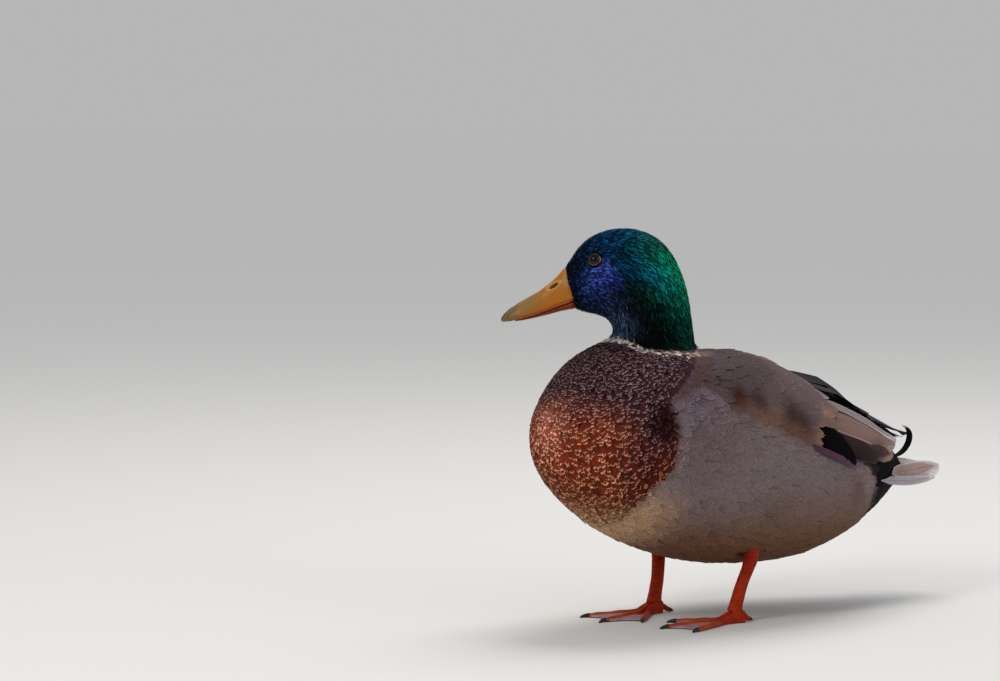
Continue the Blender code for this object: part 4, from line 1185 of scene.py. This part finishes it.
from_head = nearness(["head"])
for part in ("bill_upper", "bill_lower"):
    points, faces = fine_cast([part], 0.45 * MM, 5)
    normals = corner_normals(points, faces)
    head = head_place(points)
    head[:, 1] = np.abs(head[:, 1])
    upper = part == "bill_upper"
    ring = nostril(head) if upper else np.full(len(points), 9.0)
    hole = eased(-ring, -1.0, -0.7)
    edge = np.interp(head[:, 0], [56, 66, 74, 84, 92, 100], [228.8, 225.3, 222, 218.6, 216.4, 215])
    over = head[:, 2] - edge
    groove = eased(-np.abs(over - 1.3), -0.5, 0) * eased(-head[:, 0], -98, -90) * upper
    lip = eased(-np.abs(ring - 1.5), -0.6, 0)
    shift = -1.6 * hole - 0.28 * groove + 0.3 * lip * upper
    points = points + normals * (shift * MM)[:, None]
    # The hide of the bill runs back a little way under the feathers of the face.
    close = eased(-from_head(points, 6.0), -1.3, -0.5)
    points = points + head_vector((-3.2, 0, 0.4)) * (close * MM)[:, None]
    made = solid(part + "_half", points, faces, waxy_look)
    give(made.data, "tone", painted("ab670e", len(points), (
        (eased(head[:, 0], 76, 96), "93682a"),
        (eased(-over, -4.0, -0.5) * upper, "a04f18"),
        (eased(over, 3.5, 7.0) * eased(head[:, 0], 70, 88) * upper, "8c6a34"),
        (eased(-np.abs(head[:, 0] - 59), -5, 0) * eased(head[:, 2], 236, 244), "ab8a55"),
        # Painted highlight: a pale strip down the middle of the bill, as light caught along its
        # ridge.
        (eased(-head[:, 1], -2.4, -0.8) * eased(-head[:, 0], -94, -66), "a98f6a"),
        (np.full(len(points), 0.0 if upper else 1.0), "823606"),
        (eased(head[:, 0], 92, 98) * (0.8 if upper else 0.4), "6a552e"),
        (eased(-over, -1.6, -0.6) * upper * eased(-head[:, 0], -90, -60), "b0481a"),
        # Painted shade in the groove along the edge of the upper half and in the hollow of the
        # nostril.
        (groove * 0.8, "47230d"),
        (lip * 0.7, "c29a5c"),
        (hole, "0c0705"))))
    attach(made, "root")
    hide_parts(part)


def horn_look(name, roughness, grain, dark, light, **sockets):
    """Polished horn, mottled from dark to light."""
    look, tree, shader = finish(name, roughness, **sockets)
    horn = noise(tree, grain, 4.0)
    tree.links.new(mixed(tree, horn, linear(dark), linear(light)), shader.inputs["Base Color"])
    bumped(tree, shader, horn, 0.2, 0.0002)
    return look


nail_look = horn_look("bill_nail_horn", 0.3, 300.0, "0b0908", "2a211b", Coat_Weight=0.3)
points, faces = fine_cast(["bill_nail"], 0.35 * MM, 4)
points = points + corner_normals(points, faces) * 0.25 * MM - [0, 0, 0.3 * MM]
nail = solid("bill_nail_horn", points, faces, nail_look)
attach(nail, "root")
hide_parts("bill_nail")


# ---- The eyes --------------------------------------------------------------------------------
# Glass eyes, dark brown round a black pupil, glossy and bulging a little in front, each in a thin
# bare lid that the small feathers of the face run up to.
EYE_PLACE, EYE_RADIUS = np.array([39.4, 14.2, 257.7]), 5.5    # in the head's frame
GAZE = unit(np.array([0.30, 0.90, 0.22]))


def hoops(count, turns, closed=False):
    """Faces between rings of points, each of `turns` points."""
    return [(i * turns + j, i * turns + (j + 1) % turns,
             (i + 1) % count * turns + (j + 1) % turns, (i + 1) % count * turns + j)
            for i in range(count if closed else count - 1) for j in range(turns)]


glass_look, tree, shader = finish("glass_eye", 0.03, Specular_IOR_Level=0.2)
out, round_, _ = three_numbers(tree, "iris")
fibres = noise(tree, 6.0, 4.0, at=node(tree, "CombineXYZ", maths(tree, "MULTIPLY", out, 3.0),
                                       round_, 0.0).outputs[0])
iris = mixed(tree, fibres, linear("100603"), linear("2a150b"))
iris = mixed(tree, ramp(tree, out, 0.5, 0.62), iris, linear("0d0705"))
iris = mixed(tree, ramp(tree, out, 0.32, 0.38, 1.0, 0.0), iris, linear("010101"))
tree.links.new(iris, shader.inputs["Base Color"])

lid_look, tree, shader = finish("eyelid_skin", 0.55, Specular_IOR_Level=0.25)
creases = noise(tree, 1500.0, 3.0)
worn_lid = mixed(tree, 1.0, carried(tree, "tone"), ramp(tree, creases, 0.3, 0.7, 0.6, 1.1),
                 "MULTIPLY")
tree.links.new(worn_lid, shader.inputs["Base Color"])
bumped(tree, shader, creases, 0.4, 0.0002)

for side, label in ((1, "left"), (-1, "right")):
    flip = np.array([1, side, 1])
    centre, gaze = EYE_PLACE * flip, GAZE * flip
    right = unit(np.cross([0, 0, 1.0], gaze))
    above = np.cross(gaze, right)
    # The ball, with rings about the way it looks.
    polar, turns = np.linspace(0, math.pi, 25), 40
    ring = np.linspace(0, 2 * math.pi, turns, endpoint=False)
    bulge = EYE_RADIUS * (1 + 0.05 * eased(-polar, -0.75, -0.2))
    points = (gaze * (np.cos(polar) * bulge)[:, None, None]
              + (right * np.cos(ring)[:, None] + above * np.sin(ring)[:, None])[None]
              * (np.sin(polar) * bulge)[:, None, None]).reshape(-1, 3)
    made = solid(f"eye_{label}_glass", room_place(centre + points), hoops(len(polar), turns),
                 glass_look)
    iris_place = np.column_stack([np.repeat(polar, turns) / 1.35,
                                  np.tile(np.abs(ring - math.pi), len(polar)),
                                  np.zeros(len(points))])
    give(made.data, "iris", iris_place, "FLOAT_VECTOR")
    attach(made, "root")
    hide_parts(f"eye_{label}")
    # The lid: a soft ring drawn to a point before and behind. `wide` and `tall` are half the
    # angles of its opening.
    around, tube = np.linspace(0, 2 * math.pi, 56, endpoint=False), 10
    bend = np.linspace(0, 2 * math.pi, tube, endpoint=False)
    wide = 0.84 + 0.14 * np.abs(np.cos(around)) ** 3
    tall = 0.76 - 0.05 * np.sin(around)
    angle = np.hypot(wide * np.cos(around), tall * np.sin(around))
    outwards = right * np.cos(around)[:, None] + above * np.sin(around)[:, None]
    spot = (gaze * np.cos(angle)[:, None] + outwards * np.sin(angle)[:, None])
    off = (outwards * np.cos(angle)[:, None] - gaze * np.sin(angle)[:, None])
    thick = 0.40 + 0.08 * np.sin(around)
    rim_points = (spot[:, None] * (EYE_RADIUS + 0.12 + thick[:, None, None]
                                   * 0.75 * np.sin(bend)[None, :, None])
                  + off[:, None] * (thick[:, None, None] * 1.15 * np.cos(bend)[None, :, None]))
    made = solid(f"eyelid_{label}", room_place(centre + rim_points.reshape(-1, 3)),
                 hoops(len(around), tube, closed=True), lid_look)
    pale = np.maximum(eased(-outwards[:, 0], 0.75, 0.98),
                      0.45 * eased(-np.sin(around), 0.3, 0.9))
    give(made.data, "tone", painted("100b09", len(rim_points) * tube,
                                    [(np.repeat(pale, tube), "8d7d70")]))
    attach(made, "root")


# ---- The legs and feet -----------------------------------------------------------------------
# Bare orange legs in scaly skin, with webs between the three front toes and a small raised hind
# toe. The belly feathers close round their tops. Each toe ends in a short dark claw.
SCALE_ROW = 1.9                              # from one scale of the shank to the next
leg_look, tree, shader = finish("leg_skin", 0.5, Specular_IOR_Level=0.12)
spot = node(tree, "NewGeometry").outputs[0]
scales = node(tree, "TexVoronoi", spot, None, 620.0, feature="DISTANCE_TO_EDGE")
worn = noise(tree, 180.0, 4.0, at=spot)
height = node(tree, "SeparateXYZ", spot).outputs[2]
ring = maths(tree, "SINE", maths(tree, "ADD", maths(tree, "MULTIPLY", height,
                                                    2 * math.pi / (SCALE_ROW * MM)),
                                 maths(tree, "MULTIPLY", worn, 2.5)))
seam = ramp(tree, scales.outputs[0], 0.0, 0.14)
plate = ramp(tree, ring, -0.95, -0.3)
plate = mixed(tree, ramp(tree, height, 9 * MM, 13 * MM), seam, plate)
worn_tone = mixed(tree, 1.0, carried(tree, "tone"), ramp(tree, worn, 0.3, 0.7, 0.75, 1.12),
                  "MULTIPLY")
tree.links.new(mixed(tree, 1.0, worn_tone, ramp(tree, plate, 0.0, 1.0, 0.76, 1.0), "MULTIPLY"),
               shader.inputs["Base Color"])
bumped(tree, shader, plate, 0.6, 0.0005)

claw_look = horn_look("claw_horn", 0.4, 40.0, "120d0b", "33261f", Specular_IOR_Level=0.3)

ANKLES_MIDDLE = np.array([54.826, 0.691])
ANKLES = {"left": (-8.0, 35.0, -9.0), "right": (8.0, -35.0, 12.0)}    # from there, and turned
UPWARDS = np.array([0, 0, 1.0])
TOES = [(-31.0, 45.0), (0.0, 58.0), (29.0, 54.0)]    # angle outwards, length to the claw's tip
for side, label in ((1, "left"), (-1, "right")):
    parts = [f"shank_{label}", f"foot_{label}", f"hind_toe_{label}"]
    points, faces = fine_cast(parts, 0.55 * MM, 4)
    ahead, across, turn = ANKLES[label]
    ankle = ANKLES_MIDDLE + [ahead, across]
    turn = math.radians(turn)
    x, y = (points[:, :2] / MM - ankle).T
    toe_x, toe_y = (math.cos(turn) * x + math.sin(turn) * y,
                    side * (math.cos(turn) * y - math.sin(turn) * x))
    bearing, reach = np.degrees(np.arctan2(toe_y, toe_x)), np.hypot(toe_x, toe_y)
    z = points[:, 2] / MM
    on_toe = np.max([eased(-np.abs(np.radians(bearing - angle)) * reach, -3.2, -2.0)
                     for angle, _ in TOES], axis=0)
    web = (1 - on_toe) * eased(reach, 14, 22) * eased(-z, -5, -3) * (toe_x > 0)
    tone = painted("a92d09", len(points), (
        (eased(z, 25, 45), "9a1f04"), (web, "b58f98"),
        (on_toe * eased(-z, -5, -3) * eased(reach, 12, 20), "b44a26"),
        (eased(-z, -0.8, -0.3), "6a3a2c")))
    # The bare shank runs on up into the feathers of the belly.
    points[:, 2] += 10 * MM * eased(z, 41, 49)
    points[:, 1] += side * 3.5 * MM * eased(z, 22, 49)
    made = solid(f"leg_{label}", points, faces, leg_look)
    give(made.data, "tone", tone)
    shank = points[(z > 41) & (z < 46)].mean(0)
    shank[1] += side * 1.0 * MM
    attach(made, "root")
    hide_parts(*parts)
    # Claws: a short curved horn at the end of each toe. Angle outwards, where it starts along
    # the toe and how high, its length and half its thickness.
    claws = [(angle, length - 7.0, 1.75, 7.6, 1.35) for angle, length in TOES]
    claws.append((192.0, 17.2, 2.0, 4.6, 1.3))
    for toe, (angle, start, height, length, wide) in enumerate(claws):
        way = turn + side * math.radians(angle)
        way = np.array([math.cos(way), math.sin(way), 0.0])
        aside = np.array([-way[1], way[0], 0.0])
        t = np.linspace(0, 1, 9)
        size = wide * np.sqrt(np.clip(1 - t**1.6, 0.0, 1)) + 0.08
        middle = (np.array([*ankle, 0.0]) + way * (start + length * t)[:, None]
                  + UPWARDS * (height - (height - 0.5) * t**1.8)[:, None])
        around = np.linspace(0, 2 * math.pi, 12, endpoint=False)
        ring_points = (middle[:, None] + aside * (size[:, None] * np.cos(around))[..., None]
                       + UPWARDS * (size[:, None] * 1.05 * np.sin(around))[..., None])
        ring_points[..., 2] = np.maximum(ring_points[..., 2], 0.02)
        made = solid(f"claw_{label}_{toe + 1}", ring_points.reshape(-1, 3) * MM,
                     hoops(len(t), len(around)), claw_look)
        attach(made, "root")

    # Thigh feathers: three rings of short tufts closing in round the top of the bare shank.
    rng = np.random.default_rng(91 + side)
    roots, tips = [], []
    above = shank[None] + [0, 0, 2 * MM]
    for ring_size, number in ((7.5, 22), (10.0, 28), (12.5, 34)):
        for k in range(number):
            turned = 2 * math.pi * (k + rng.uniform(-0.3, 0.3)) / number
            way = np.array([math.cos(turned), math.sin(turned), 0.0])
            root = hide.meet(above + way * ring_size * MM)[0][0]
            near = 4.6 + 0.7 * (ring_size - 7.5) + rng.uniform(0, 0.8)
            tip = hide.meet(above + way * near * MM)[0][0]
            tip[2] -= (1.2 + rng.uniform(-0.5, 0.5)) * MM
            roots.append(root)
            tips.append(tip)
    roots, tips = np.array(roots), np.array(tips)
    t = np.linspace(0, 1, 5)
    path = roots[:, None] + (tips - roots)[:, None] * t[:, None]
    outward = unit(roots - shank[None] + [0, 0, 1e-6])
    outward[:, 2] = -0.55
    path = path + outward[:, None] * (0.8 * MM * np.sin(t * math.pi))[None, :, None]
    half = 1.9 * MM * np.interp(t, [0, 0.4, 0.8, 1], [0.7, 1, 0.8, 0.2])
    _, tones, rims = markings_and_light(roots)
    thigh = vanes(f"thigh_feathers_{label}", flank_look, path,
                  np.repeat(unit(outward)[:, None], len(t), 1), np.tile(half, (len(roots), 1)),
                  np.zeros((len(roots), len(t))), tones, rims, 93 + side, top=(-1, -0.5, 0, 0.5, 1),
                  below=(-1, 0, 1), hug=False, shade=0.4, fray=0.25, thick=0.1 * MM)
